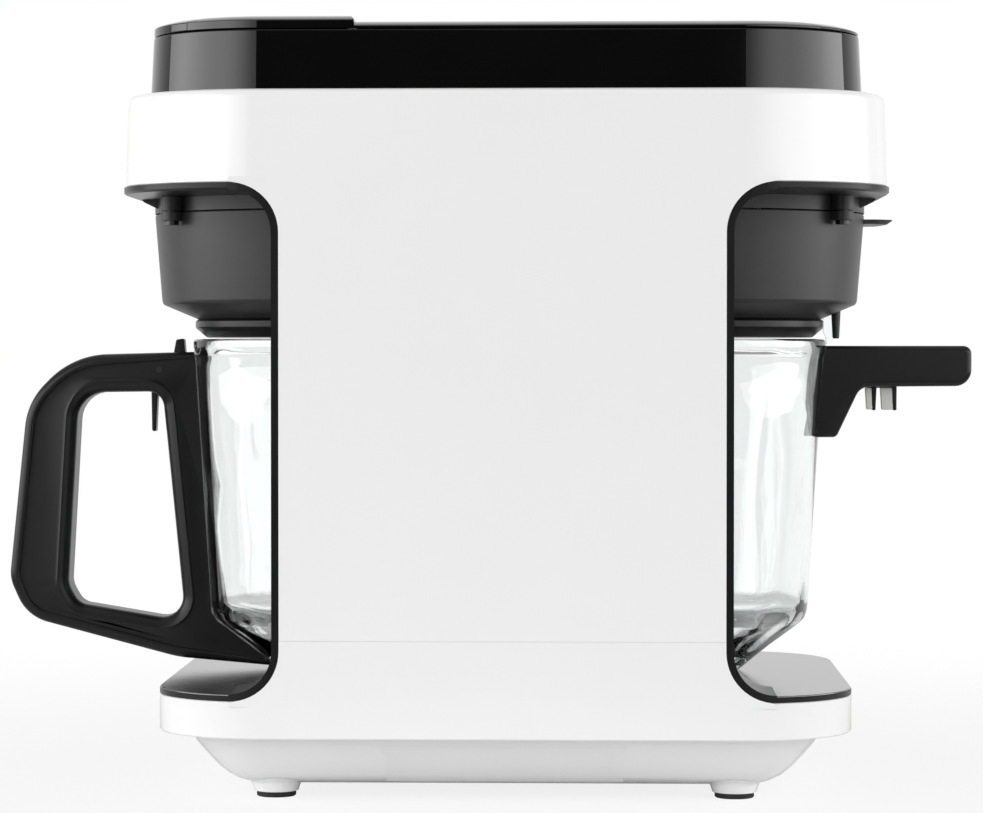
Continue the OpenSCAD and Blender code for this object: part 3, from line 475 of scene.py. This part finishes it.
def make_floor():
    """A pale disc that keeps the object's shadow and fades out before its edge."""
    n, r = 96, 900
    turns = [2 * math.pi * i / n for i in range(n)]
    floor = build("floor", [(r * math.cos(a), r * math.sin(a), -0.1) for a in turns], [tuple(range(n))])
    mat = bpy.data.materials.new("floor")
    mat.use_nodes = True
    nodes, links = mat.node_tree.nodes, mat.node_tree.links
    bsdf = nodes["Principled BSDF"]
    bsdf.inputs["Base Color"].default_value = (0.9, 0.9, 0.9, 1)
    bsdf.inputs["Roughness"].default_value = 0.7
    bsdf.inputs["Specular IOR Level"].default_value = 0.0
    path = nodes.new("ShaderNodeLightPath")
    glow = nodes.new("ShaderNodeEmission")
    lift = nodes.new("ShaderNodeMath")
    lift.operation = "MULTIPLY"
    lift.inputs[1].default_value = 0.84
    links.new(path.outputs["Is Camera Ray"], lift.inputs[0])
    mixed = nodes.new("ShaderNodeMixShader")
    links.new(lift.outputs["Value"], mixed.inputs["Fac"])
    links.new(bsdf.outputs["BSDF"], mixed.inputs[1])
    links.new(glow.outputs["Emission"], mixed.inputs[2])
    where = nodes.new("ShaderNodeTexCoord")
    length = nodes.new("ShaderNodeVectorMath")
    length.operation = "LENGTH"
    links.new(where.outputs["Object"], length.inputs[0])
    fade = nodes.new("ShaderNodeMapRange")
    fade.interpolation_type = "SMOOTHSTEP"
    fade.inputs["From Min"].default_value, fade.inputs["From Max"].default_value = 0.24, 0.8
    links.new(length.outputs["Value"], fade.inputs["Value"])
    gone = nodes.new("ShaderNodeBsdfTransparent")
    edge = nodes.new("ShaderNodeMixShader")
    links.new(fade.outputs["Result"], edge.inputs["Fac"])
    links.new(mixed.outputs["Shader"], edge.inputs[1])
    links.new(gone.outputs["BSDF"], edge.inputs[2])
    links.new(edge.outputs["Shader"], nodes["Material Output"].inputs["Surface"])
    floor.data.materials.append(mat)


# ---- white shells ----
def taper(x, z):
    """The head narrows a little towards its top."""
    return x * (1 - 1.5 / (HEAD_W / 2) * max(0.0, min(1.0, (z - HEAD_Z) / (HEAD_TOP - HEAD_Z))))


def bay_corner(z, up, r=BAY_R, x=COLUMN_HALF):
    """Points of the round corner where the column widens to the head or the base."""
    cx, cz = x + r, z - up * r
    turns = [math.radians(90 * i / 14) for i in range(15)]
    return [(cx - r * math.cos(t), cz + up * r * math.sin(t)) for t in turns]


def make_body():
    def ring(shape, z, inset):
        return [(taper(x, z), y, z) for x, y in shape(inset)]

    lip = 3.0
    rings = [ring(head, HEAD_Z, 0.5), ring(head, HEAD_Z + 0.5, 0.0), ring(head, HEAD_TOP - 3.4, 0.0)]
    rings += [ring(head, HEAD_TOP - lip * (1 - math.sin(t)), lip * (1 - math.cos(t)))
              for t in [math.pi / 2 * k / 4 for k in range(5)]]
    rings += [ring(cover, HEAD_TOP, -1.2), ring(cover, HEAD_TOP - 0.8, -0.4),
              ring(cover, HEAD_TOP - SINK - 2, -0.4), ring(head, HEAD_TOP - SINK - 2.1, 3.0),
              ring(head, HEAD_Z + 2.5, 3.0)]
    shell = loft("body_shell", rings)
    side = bay_corner(HEAD_Z, 1)
    side[-1] = (side[-1][0], HEAD_Z + 0.3)
    outline = [(COLUMN_HALF, SEAM_Z + 0.03)] + side + [(COLUMN_HALF + BAY_R, HEAD_Z + 2.4)]
    outline = outline + [(-x, z) for x, z in reversed(outline)]
    column = prism("column", outline, COLUMN_Y + 2.5, REAR)
    carve(shell, column, "UNION")
    carve(shell, block(-99, 99, COLUMN_Y + 1, REAR - 3, SEAM_Z + 2.6, HEAD_Z + 4))
    smooth(shell, 30, 0.22, 2)
    piece(shell, WHITE, "body", "white_plastic", "body_housing")


def make_base():
    shell = loft("base_shell", levels(base, [(BAND_Z, 3.0), (BAND_Z, 0.6), (BAND_Z + 0.6, 0.0),
                                             (DECK_Z - 0.5, 0.0), (DECK_Z, 0.5)]))
    side = bay_corner(DECK_Z, -1)
    side[-1] = (side[-1][0], DECK_Z - 0.3)
    outline = [(COLUMN_HALF, SEAM_Z - 0.03)] + side + [(COLUMN_HALF + BAY_R, DECK_Z - 2.4)]
    outline = outline + [(-x, z) for x, z in reversed(outline)]
    carve(shell, prism("rear", outline, COLUMN_Y + 2.5, REAR), "UNION")
    carve(shell, loft("inside", levels(base, [(BAND_Z - 2, 3.0), (DECK_Z - 3, 3.0)])))
    for s in (1, -1):
        carve(shell, disc(WARMER_HOLE, DECK_Z - 5, DECK_Z + 1, (s * STATION[0], STATION[1])))
    smooth(shell, 30, 0.22, 2)
    piece(shell, WHITE, "body", "white_plastic", "base_housing")


def make_pan():
    steps = [(7, 60), (7, 46), (7.5, 42.5), (9, 37.5), (11.5, 32.5), (15, 28.2), (19, 24.4), (23, 20.8),
             (27, 17.4), (30, 15.4), (32.4, 14.2)]
    pan = loft("base_pan_skirt", levels(base, steps))
    # a shallow bay in the middle of each long skirt, under a ledge
    for s in (1, -1):
        bay = []
        for z, y, half in ((6.0, 71, 67), (8.8, 75.5, 66), (12.4, 81.8, 64), (20, 88.6, 63),
                           (27.2, 93.4, 62), (27.9, 106, 61)):
            side = []
            for k in range(25):
                x = -half + 2 * half * k / 24
                ease = max(0.0, 1 - (half - abs(x)) / 16.0)
                side.append((x, s * (y + 9 * ease * ease), z))
            bay.append(side + [(half, s * 130, z), (-half, s * 130, z)])
        carve(pan, loft("bay", bay))
    smooth(pan, 40, 0.6, 3)
    piece(pan, WHITE, "body", "white_plastic", "base_pan")
    places = ((0, 0), (-108, -62), (-108, 62), (108, -62), (108, 62))
    for i, (x, y) in enumerate(places):
        boss = lathe("foot_boss_%d" % i, [(AXIS, 9.5), (13.6, 9.5), (12.2, 7.4), (11.2, 5.2), (10.4, 2.7),
                                          (9.8, 2.4), (AXIS, 2.4)], (x, y), 64)
        piece(smooth(boss), WHITE, "body", "white_plastic")
    pads = None
    for x, y in places:
        pad = lathe("pad", [(AXIS, 2.6), (9.3, 2.6), (9.3, 0.5), (8.8, 0.0), (AXIS, 0.0)], (x, y), 64)
        pads = pad if pads is None else carve(pads, pad, "UNION")
    pads.name = "rubber_pads"
    piece(smooth(pads), RUBBER, "body", "rubber", "foot_pads")


# ---- top cover and lids ----
def make_top():
    def ring(z, inset):
        lean = 1.4 * (z - HEAD_TOP) / (COVER_TOP - HEAD_TOP)
        return [(x, y, z) for x, y in cover(inset + max(0.0, lean))]

    wall = loft("cover_wall", [ring(HEAD_TOP - SINK, 3.0), ring(HEAD_TOP - SINK, 0.0), ring(HEAD_TOP, 0.0),
                               ring(COVER_TOP - 0.7, 0.0), ring(COVER_TOP - 0.2, 0.2), ring(COVER_TOP, 0.7)])
    carve(wall, loft("inside", [ring(HEAD_TOP - SINK - 1, 3.0), ring(COVER_TOP - 3, 3.0)]))
    # the fill opening, and the storage well with its 2 mm wall
    carve(wall, block(76, 118, 30, 80, COVER_TOP - 8, COVER_TOP + 3))
    carve(wall, block(-122, 22, -92, 62, COVER_TOP - 14, COVER_TOP - 1), "UNION")
    well = rounded([(-120, COVER_TOP - 12, 2), (20, COVER_TOP - 12, 2), (20, COVER_TOP + 4, 0),
                    (-120, COVER_TOP + 4, 0)], 4)
    carve(wall, prism("well", well, -90, 60))
    smooth(wall, 32, 0.3, 2)
    piece(wall, BLACK, "body", "black_gloss")

    def lid_plan(inset):
        return cover(inset + 1.6)

    def plate(name, top, y0, y1, x0, x1, slope=0.0):
        """The part of the domed top within y0 to y1 and x0 to x1; slope leans its side at x0."""
        ob = loft(name, levels(lid_plan, [(PLATE_Z, 0.6), (PLATE_Z + 0.5, 0.0), (top - 3.3, 0.0),
                                          (top - 2.9, 0.3), (top - 2.0, 2.6), (top - 1.0, 6.6),
                                          (top - 0.35, 11), (top, 17)]))
        outline = [(x0, 300), (x1, 300), (x1, top + 2), (x0 + slope, top + 2),
                   (x0 + slope * 0.5, PLATE_Z + LID_T)]
        return carve(ob, prism("keep", outline, y0, y1), "INTERSECT")

    low, high, far = PLATE_Z + LID_T, PLATE_Z + FILL_T, 300
    service = plate("service_lid_plate", low, -200, 94.7, -far, STEP_X - 0.3)
    fill = plate("fill_lid_plate", high, -200, 94.7, STEP_X + 0.3, far, 8.0)
    strip = plate("rear_strip", low, 95.0, 200, -far, STEP_X + 2)
    carve(strip, plate("strip_high", high, 95.0, 200, STEP_X - 4, far, 8.0), "UNION")
    for ob, body, node in ((strip, "body", "top_cover"), (service, "service_lid", "service_lid"),
                           (fill, "fill_lid", "fill_lid")):
        piece(smooth(ob, 34, 0.25, 2), BLACK, body, "black_gloss", node)


# ---- bays ----
def flange(inset=0.0):
    return plan(HEAD_W + 2, FRONT - 1, REAR, HEAD_R + 1, inset)


def hole(z, r):
    return disc(r, z - 8, z + 8)


def make_bays():
    for name, s in SIDES:
        # the dark liner: a C of sheet, with the tray under the deck and the ceiling
        low, high = bay_corner(DECK_Z, -1), bay_corner(HEAD_Z, 1)
        lo_in = bay_corner(DECK_Z + LINER_T, -1, BAY_R - LINER_T, COLUMN_HALF + LINER_T)
        hi_in = bay_corner(HEAD_Z - LINER_T, 1, BAY_R - LINER_T, COLUMN_HALF + LINER_T)
        outline = list(reversed(low)) + high + [(200, HEAD_Z), (200, HEAD_Z - LINER_T)] + \
            list(reversed(hi_in)) + lo_in + [(200, DECK_Z + LINER_T), (200, DECK_Z)]
        sheet = prism("liner_" + name + "_sheet", outline, COLUMN_Y, REAR)
        keep = loft("keep", levels(base, [(0, 0), (180, 0)]))
        top = loft("keep_top", levels(flange, [(179.9, 0), (400, 0)]))
        carve(keep, top, "UNION")
        carve(sheet, keep, "INTERSECT")
        tray = loft("tray", levels(base, [(DECK_Z, 0.3), (DECK_Z + 0.3, 0), (DECK_TOP - 0.8, 0)]))
        carve(tray, block(0.3, 300, -300, COLUMN_Y + 1, 0, 100), "INTERSECT")
        carve(sheet, tray, "UNION")
        carve(sheet, block(COLUMN_HALF + BAY_R, 400, -300, 300, CEILING_Z - 1, HEAD_Z + 1))
        carve(sheet, block(COLUMN_HALF + BAY_R, 400, -300, 300, DECK_TOP - 0.8, DECK_TOP + 8))
        carve(sheet, hole(DECK_Z, WARMER_HOLE))
        for_side(smooth(sheet, 32, 0.3, 2), s)
        piece(sheet, DARK, "body", "dark_plastic", "liner_" + name)

        # the liner's ceiling, one plate with a clean rim
        rim = [(CEILING_Z, 1.0), (CEILING_Z + 0.9, 0), (HEAD_Z, 0)]
        roof = loft("liner_" + name + "_roof", levels(flange, rim))
        keep = block(0.3, 300, -300, COLUMN_Y + 1, 200, 300)
        carve(keep, block(COLUMN_HALF + BAY_R, 300, COLUMN_Y, 300, 200, 300), "UNION")
        carve(roof, keep, "INTERSECT")
        carve(roof, hole(HEAD_Z, 14.3))
        for_side(smooth(roof, 32, 0.3, 2), s)
        piece(roof, DARK, "body", "dark_plastic")

        rim = [(DECK_TOP - 0.8, 0.25), (DECK_TOP - 0.3, 0.25), (DECK_TOP, 0.6)]
        deck = loft("deck_" + name, levels(base, rim))
        keep = prism("keep", [(0.5, 0), (300, 0), (300, 100), (0.5, 100)], -300, COLUMN_Y)
        carve(keep, block(COLUMN_HALF + BAY_R + 0.1, 300, COLUMN_Y - 2, 300, 0, 100), "UNION")
        carve(deck, keep, "INTERSECT")
        for_side(smooth(deck, 32, 0.15, 2), s)
        piece(deck, STEEL, "body", "steel", "deck_plate_" + name)

        rim = [(CEILING_Z, 1.5), (CEILING_Z - 1.2, 2.6), (UNDER_Z + 1.2, 11.2), (UNDER_Z, 13.4)]
        under = loft("under_" + name, levels(head, rim))
        carve(under, block(0.3, 300, -300, 10, 200, 300), "INTERSECT")
        carve(under, disc(HOLDER_R + 0.2, 270, 290, STATION, 96))
        for_side(smooth(under, 32, 0.3, 2), s)
        piece(under, CHARCOAL, "body", "charcoal_plastic", "underside_" + name)


# ---- baskets ----
def arc_points(cx, cz, r, a0, a1, n=6):
    return [(cx + r * math.cos(math.radians(a0 + (a1 - a0) * k / n)),
             cz + r * math.sin(math.radians(a0 + (a1 - a0) * k / n))) for k in range(n + 1)]


def make_baskets():
    for name, s in SIDES:
        body = name + "_basket"
        z = HOLDER_Z
        inner = HOLDER_R - HOLDER_T
        wall = [(AXIS, z), (BOWL_R - 1.6, z), (BOWL_R - 0.8, z + 0.15), (HOLDER_LOW - 1.0, z + 6.9),
                (HOLDER_LOW - 0.25, z + 7.8), (HOLDER_LOW + 0.1, z + 9.0), (HOLDER_R - 0.1, HOLDER_TOP - 0.8),
                (HOLDER_R - 0.5, HOLDER_TOP), (inner, HOLDER_TOP), (inner, HOLDER_TOP - 3),
                (inner - 2, HOLDER_TOP - 3), (HOLDER_LOW - HOLDER_T - 1, z + 9.4), (BOWL_R - 3, z + 3),
                (AXIS, z + 3)]
        shell = lathe("holder_" + name, wall, STATION, 160)
        carve(shell, disc(5.5, z - 4, z + 6, STATION, 48))
        make_ear(name, s)
        if s < 0:
            line = [(AXIS, z - 9.5), (1.3, z - 9.5), (1.7, z - 8.9), (2.4, z + 5), (AXIS, z + 5)]
            peg = lathe("guide_peg", line, (STATION[0] + 73, STATION[1]), 32)
            piece(mirrored(smooth(peg)), CHARCOAL, body, "charcoal_plastic")
        for_side(smooth(shell, 34, 0.25, 2), s)
        piece(shell, CHARCOAL, body, "charcoal_plastic", "basket_holder_" + name)
        if s < 0:
            make_tab()
        bowl = [(5.1, BOWL_Z), (BOWL_R - 6.4, BOWL_Z), (BOWL_R - 5.4, BOWL_Z + 0.25),
                (BOWL_R - 0.5, BOWL_Z + 4.4), (BOWL_R, BOWL_Z + 5.2), (BOWL_R, HOLDER_Z - 1.2),
                (BOWL_R - 1.4, HOLDER_Z), (5.1, HOLDER_Z)]
        ob = lathe("bowl_" + name, bowl, STATION, 128)
        for_side(smooth(ob, 30), s)
        piece(ob, DARK, body, "dark_plastic", "outlet_bowl_" + name)
        make_spring(name, s)


def make_ear(name, s):
    """The lug on a holder that its pivot pin goes through."""
    ear = lathe("holder_ear_" + name, [(2.45, EAR_Z), (5.2, EAR_Z), (5.2, HOLDER_TOP), (2.45, HOLDER_TOP)],
                PIVOT, 48)
    along = Vector((STATION[0] - PIVOT[0], STATION[1] - PIVOT[1])).normalized()
    across = Vector((-along.y, along.x))
    a, b = Vector(PIVOT) + along * 3, Vector(PIVOT) + along * 6.2
    ring = [a + across * 3.9, a - across * 3.9, b - across * 3.95, b + across * 3.95]
    arm = loft("arm", [[(p.x, p.y, z) for p in ring] for z in (EAR_Z, HOLDER_TOP)])
    carve(ear, arm, "UNION")
    piece(for_side(smooth(ear, 34, 0.25, 2), s), CHARCOAL, name + "_basket", "charcoal_plastic")


def make_tab():
    """The thin grip on the side of the tea holder, which fades out at both ends."""
    n, low, top = 40, HOLDER_TOP - 2.2 - 2.2, HOLDER_TOP - 2.2
    rings = []
    for k in range(n + 1):
        t = math.radians(-21 + 28 * k / n)
        reach = 86.9 + (100.5 - 86.9) * min(1.0, 5 * min(k, n - k) / n) ** 0.5
        section = ((85.4, top), (reach, top), (reach - 0.4, top - 0.7), (max(85.6, reach - 2.6), low),
                   (85.4, low))
        rings.append([(STATION[0] + r * math.cos(t), STATION[1] + r * math.sin(t), z) for r, z in section])
    piece(mirrored(smooth(loft("finger_tab", rings), 30)), CHARCOAL, "tea_basket", "charcoal_plastic")


def make_spring(name, s):
    """A coil over the valve's flange, built at one fixed length; the real one shortens as the jug pushes the
    valve up.
    """
    low, high, turns, wire, middle, sides, n = 230.7, 243.5, 6, 0.5, 6.5, 8, 288
    rings = []
    for i in range(n + 1):
        a = 2 * math.pi * turns * i / n
        z = low + wire + (high - low - 2 * wire) * i / n
        ring = []
        for j in range(sides):
            b = 2 * math.pi * j / sides
            r = middle + wire * math.cos(b)
            ring.append((STATION[0] + r * math.cos(a), STATION[1] + r * math.sin(a), z + wire * math.sin(b)))
        rings.append(ring)
    coil = for_side(loft("drip_coil_" + name, rings), s)
    for p in coil.data.polygons:
        p.use_smooth = True
    piece(coil, PIN, name + "_basket", "pin_steel", "drip_spring_" + name)
    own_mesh(coil)


# ---- jugs ----
def jug_profile():
    """Outer and inner line of the glass as (r, z), each from the middle of the foot up to the rim or back."""
    knee = JUG_Z + 26.4
    outer = [(AXIS, JUG_Z + 1.2), (20, JUG_Z + 0.8), (24.6, JUG_Z)]
    outer += arc_points(25.2, JUG_Z + 1.6, 1.6, -90, -40, 4)
    outer += [(40.5, JUG_Z + 12.3), (52.0, JUG_Z + 20.8), (55.6, JUG_Z + 23.7), (57.6, JUG_Z + 25.8),
              (58.6, knee + 1.8), (59.1, knee + 4.4)]
    outer += [(59.1 + (66.6 - 59.1) * k / 10, knee + 4.4 + (RIM_Z - 9.5 - knee - 4.4) * k / 10)
              for k in range(1, 11)]
    outer += [(67.3, RIM_Z - 7.2), (67.85, RIM_Z - 5.2), (68.0, RIM_Z - 3.4)]
    outer += arc_points(66.3, RIM_Z - 1.7, 1.7, 10, 170, 8)
    inner = [(64.3, RIM_Z - 5), (63.6, RIM_Z - 9)]
    inner += [(63.0 + (55.2 - 63.0) * k / 10, RIM_Z - 14 + (knee + 8 - RIM_Z + 14) * k / 10)
              for k in range(11)]
    inner += [(54.2, knee + 4.5), (52.4, knee + 1.8), (49.6, knee - 0.8), (44, knee - 5.0),
              (34, knee - 12.6), (24, knee - 17.0), (12, knee - 18.6), (AXIS, knee - 19.0)]
    return outer, inner


def make_jugs():
    n, spout_reach, spout_drop, spout_width = 160, 5.6, 18, 0.16
    outer, inner = jug_profile()
    for name, s in SIDES:
        rows = []
        for i in range(n):
            a = 2 * math.pi * i / n
            spout = math.exp(-((abs(a - math.pi)) / spout_width) ** 2)
            row = []
            for j, (r, z) in enumerate(outer + inner):
                lift = max(0.0, (z - (RIM_Z - spout_drop)) / spout_drop) ** 1.6
                r2 = r + spout_reach * spout * lift
                # the inside of the glass is uneven, and its floor ripples
                if j >= len(outer):
                    wave = noise.noise(Vector((3.2 * math.cos(a), 3.2 * math.sin(a), z * 0.045 + 7 * s)))
                    r2 -= 0.75 * wave if r > 6 else 0
                    if r < 56 and z < JUG_Z + 30:
                        spot = Vector((r * 0.11 * math.cos(a), r * 0.11 * math.sin(a), 3 + s))
                        z += 1.5 * noise.noise(spot) * min(1, r / 12)
                row.append((STATION[0] + r2 * math.cos(a), STATION[1] + r2 * math.sin(a), z))
            rows.append(row)
        jug = for_side(smooth(spin(name + "_jug", rows), 60), s)
        piece(jug, GLASS, name + "_jug", "jug_glass", name + "_jug_glass")


def make_handles():
    r = RIM_Z
    sx, sy = STATION
    # the glass's outside, which the handles are cut to
    side = [(67.1, RIM_Z - 9.6), (68.3, RIM_Z - 5), (68.4, RIM_Z + 6), (AXIS, RIM_Z + 6)]
    low = [(AXIS, JUG_Z - 5), (26.3, JUG_Z - 5), (26.3, JUG_Z + 0.2), (41, JUG_Z + 12), (56.6, JUG_Z + 23.8),
           (59.4, JUG_Z + 28), (59.6, JUG_Z + 31)]

    def at(points):
        return [(x + sx, z) for x, z in points]

    def upright(name, points, half, holes=(), edge=((0, 0),), hole_edge=None):
        return prism(name, at(points), sy - half, sy + half, [at(h) for h in holes], edge, hole_edge)

    def slot(x0, x1, z0, z1):
        return upright("slot", [(x0, z0), (x1, z0), (x1, z1), (x0, z1)], SLOT_HALF)

    outer = rounded([(58, r - 6, 0), (127, r - 7.8, 42), (149.6, r - 31, 34), (158.5, r - 118, 18),
                     (150, r - 137, 22), (75, r - 156.8, 60), (28, r - 160.9, 0), (28, r - 110, 0),
                     (48, r - 100, 0)], 14)
    loop = rounded([(82.8, r - 25.8, 8), (124, r - 26.3, 14), (129.4, r - 121, 12), (124, r - 130.2, 8),
                    (71.6, r - 139, 10)], 8)
    bead = quarter(3.6, 6) + [(4.4, 0.12), (4.9, 0.5), (5.2, 1.0), (5.6, 1.1), (7.5, 1.1)]
    inside = quarter(6.5, 9, 5.0)[:-1] + [(6.9, 1.1)]
    grip = upright("coffee_handle", outer, HANDLE_HALF, [loop], bead, inside)
    carve(grip, lathe("cut", low + side, STATION, 160))
    carve(grip, slot(70, 80, r - 26, r + 3))
    carve(grip, slot(82, 91.5, r - 30, r - 4))
    smooth(grip, 40)
    piece(grip, HANDLE, "coffee_jug", "handle_plastic", "coffee_jug_handle")

    lever = rounded([(71.8, r - 10, 0), (72.6, r + 0.4, 1), (76.6, r - 0.2, 1), (78, r - 8, 0),
                     (88, r - 8.4, 2), (89, r - 20, 0), (88.6, r - 45.5, 1), (86.6, r - 45.5, 0.5),
                     (85.6, r - 24, 0), (76, r - 18, 0)], 4)
    trigger = upright("coffee_trigger", lever, TRIGGER_HALF, (), quarter(0.5, 3))
    smooth(trigger, 40)
    piece(trigger, HANDLE, "coffee_trigger", "handle_plastic", "coffee_jug_trigger")

    outer = rounded([(60, r - 3.3, 0), (138.5, r - 3.3, 4), (138.5, r - 23, 8), (84.3, r - 23.4, 7),
                     (72.6, r - 48.1, 3), (60, r - 48.1, 0)], 8)
    grip = upright("tea_handle", outer, HANDLE_HALF, (), quarter(2.6, 6))
    carve(grip, lathe("cut", [(AXIS, 100), (60, 100), (63.2, RIM_Z - 60)] + side, STATION, 160))
    carve(grip, slot(85.8, 104.4, r - 30, r - 7))
    mirrored(smooth(grip, 40))
    piece(grip, HANDLE, "tea_jug", "handle_plastic", "tea_jug_handle")

    lever = rounded([(87.3, r - 24, 0.6), (87.3, r - 9, 2), (102.8, r - 9, 2), (102.6, r - 35, 0.5),
                     (100.9, r - 35, 0.5), (100.3, r - 24, 0), (92.8, r - 24, 0), (92.3, r - 35, 0.5),
                     (90.8, r - 35, 0.5), (90.3, r - 24, 0)], 4)
    trigger = upright("tea_trigger", lever, TRIGGER_HALF, (), quarter(0.45, 3))
    mirrored(smooth(trigger, 40))
    piece(trigger, HANDLE, "tea_trigger", "handle_plastic", "tea_jug_trigger")
    for k, (x0, x1, drop) in enumerate(((87.4, 90.3, 34.6), (94.8, 100.4, 34.8))):
        lining = rounded([(x0, r - 24.1, 0), (x0 + 0.7, r - drop, 0.5), (x1 + 0.5, r - drop, 0.3),
                          (x1, r - 24.1, 0)], 3)
        ob = upright("tea_trigger_lining_%d" % k, lining, 3.2, (), quarter(0.3, 2))
        mirrored(smooth(ob, 40))
        piece(ob, NATURAL, "tea_trigger", "natural_plastic")


# ---- front controls ----
def turned_y(name, profile, x, z, n=96, shape=None):
    """A profile of (r, y) turned about a line along Y; shape(angle, r, y) may change r."""
    rows = []
    for i in range(n):
        a = 2 * math.pi * i / n
        radii = [(shape(a, r, y) if shape else r, y) for r, y in profile]
        rows.append([(x + q * math.cos(a), y, z + q * math.sin(a)) for q, y in radii])
    return spin(name, rows)


def rod_y(name, r, y0, y1, x, z, n):
    return turned_y(name, [(AXIS, y0), (r, y0), (r, y1), (AXIS, y1)], x, z, n)


def circle(x, z, r, n=72):
    return [(x + r * math.cos(2 * math.pi * k / n), z + r * math.sin(2 * math.pi * k / n)) for k in range(n)]


def make_controls():
    y = FRONT
    face = rounded([(-88, 292.25, 6), (88, 292.25, 6), (88, 324.25, 6), (-88, 324.25, 6)], 8)
    panel = prism("panel_face", face, y - 2.5, y, (), quarter(0.8, 4))
    for x, r in ((0, 3.2), (LARGE_X, 7.85), (BUTTON_X, 7.85), (-LARGE_X, 7.85), (-BUTTON_X, 7.85)):
        carve(panel, rod_y("hole", r, y - 6, y + 4, x, PANEL_Z, 48))
    carve(panel, block(ROCKER_X - 5.3, ROCKER_X + 5.3, y - 6, y + 4, 298.6, 317.9))
    piece(smooth(panel, 35), BLACK, "body", "black_gloss", "control_panel")
    for k, (angle, reach) in enumerate(((-52, 13.176), (0, 14.4936), (52, 13.176))):
        a = math.radians(90 + angle)
        dot = rod_y("mode_mark_%d" % k, 0.7, y - 2.56, y - 2.3, reach * math.cos(a),
                    PANEL_Z + reach * math.sin(a), 24)
        piece(smooth(dot), NATURAL, "body", "natural_plastic")

    def flutes(a, r, yy):
        return r - (0.45 * max(0.0, math.cos(24 * a)) if r > 11 and yy > y - 14.6 else 0.0)

    knob = turned_y("mode_knob_cap", [(AXIS, y - 3.6), (11.9, y - 3.6), (12.0, y - 4.2), (11.7, y - 13.6),
                                      (11.2, y - 14.9), (9.9, y - 15.55), (8.8, y - 15.3), (AXIS, y - 15.1)],
                    0, PANEL_Z, 192, flutes)
    carve(knob, turned_y("shaft", [(AXIS, y + 11.9), (2.9, y + 11.9), (2.9, y - 4.5), (AXIS, y - 4.5)],
                         0, PANEL_Z, 48), "UNION")
    piece(smooth(knob, 35), CHARCOAL, "mode_knob", "charcoal_plastic", "mode_knob")
    mark = prism("mode_knob_pointer", rounded([(-0.7, PANEL_Z + 3, 0.5), (0.7, PANEL_Z + 3, 0.5),
                                               (0.7, PANEL_Z + 8.8, 0.5), (-0.7, PANEL_Z + 8.8, 0.5)], 4),
                 y - 15.4, y - 15.0, (), quarter(0.15, 2))
    piece(smooth(mark), NATURAL, "mode_knob", "natural_plastic")

    # a cup in outline marks each button, a tall one the large jugful
    z = PANEL_Z
    cap_line = [(AXIS, y + 3.6), (7.3, y + 3.6), (7.68, y + 3.2), (7.7, y - 3.4), (7.2, y - 4.3),
                (6.3, y - 4.5), (5.9, y - 4.1), (3.0, y - 3.75), (AXIS, y - 3.65)]
    for name, x, h in (("coffee_button", BUTTON_X, 1.7), ("coffee_large_button", LARGE_X, 2.6),
                       ("tea_button", -BUTTON_X, 1.7), ("tea_large_button", -LARGE_X, 2.6)):
        cap = turned_y(name + "_cap", cap_line, x, z, 72)
        piece(smooth(cap, 35), CHARCOAL, name, "charcoal_plastic", name)
        lamp = prism(name + "_ring", circle(x, z, 6.85), y - 4.58, y - 4.2, [circle(x, z, 6.35)])
        piece(smooth(lamp), NATURAL, name, "natural_plastic")
        inside = [(x - 1.4, z - h + 0.5), (x - 1.85, z + h - 0.45), (x + 1.85, z + h - 0.45),
                  (x + 1.4, z - h + 0.5)]
        cup = prism(name + "_cup", [(x - 1.9, z - h), (x + 1.9, z - h), (x + 2.4, z + h), (x - 2.4, z + h)],
                    y - 3.98, y - 3.6, [inside])
        piece(smooth(cup), NATURAL, name, "natural_plastic")


# ---- CAD nodes that stay, each with the look of its slot ----
def dress_frame():
    slots = {e["node"]: e["material_slot"] for e in frame["record"]["subparts"]}
    for node, ob in frame["nodes"].items():
        ob.data.materials.clear()
        ob.data.materials.append(SLOT_LOOK[slots[node]])
        smooth(ob, 30, 0.2, 2)


make_camera()
make_light()
make_floor()
dress_frame()
make_body()
make_base()
make_pan()
make_top()
make_bays()
make_baskets()
make_jugs()
make_handles()
make_controls()
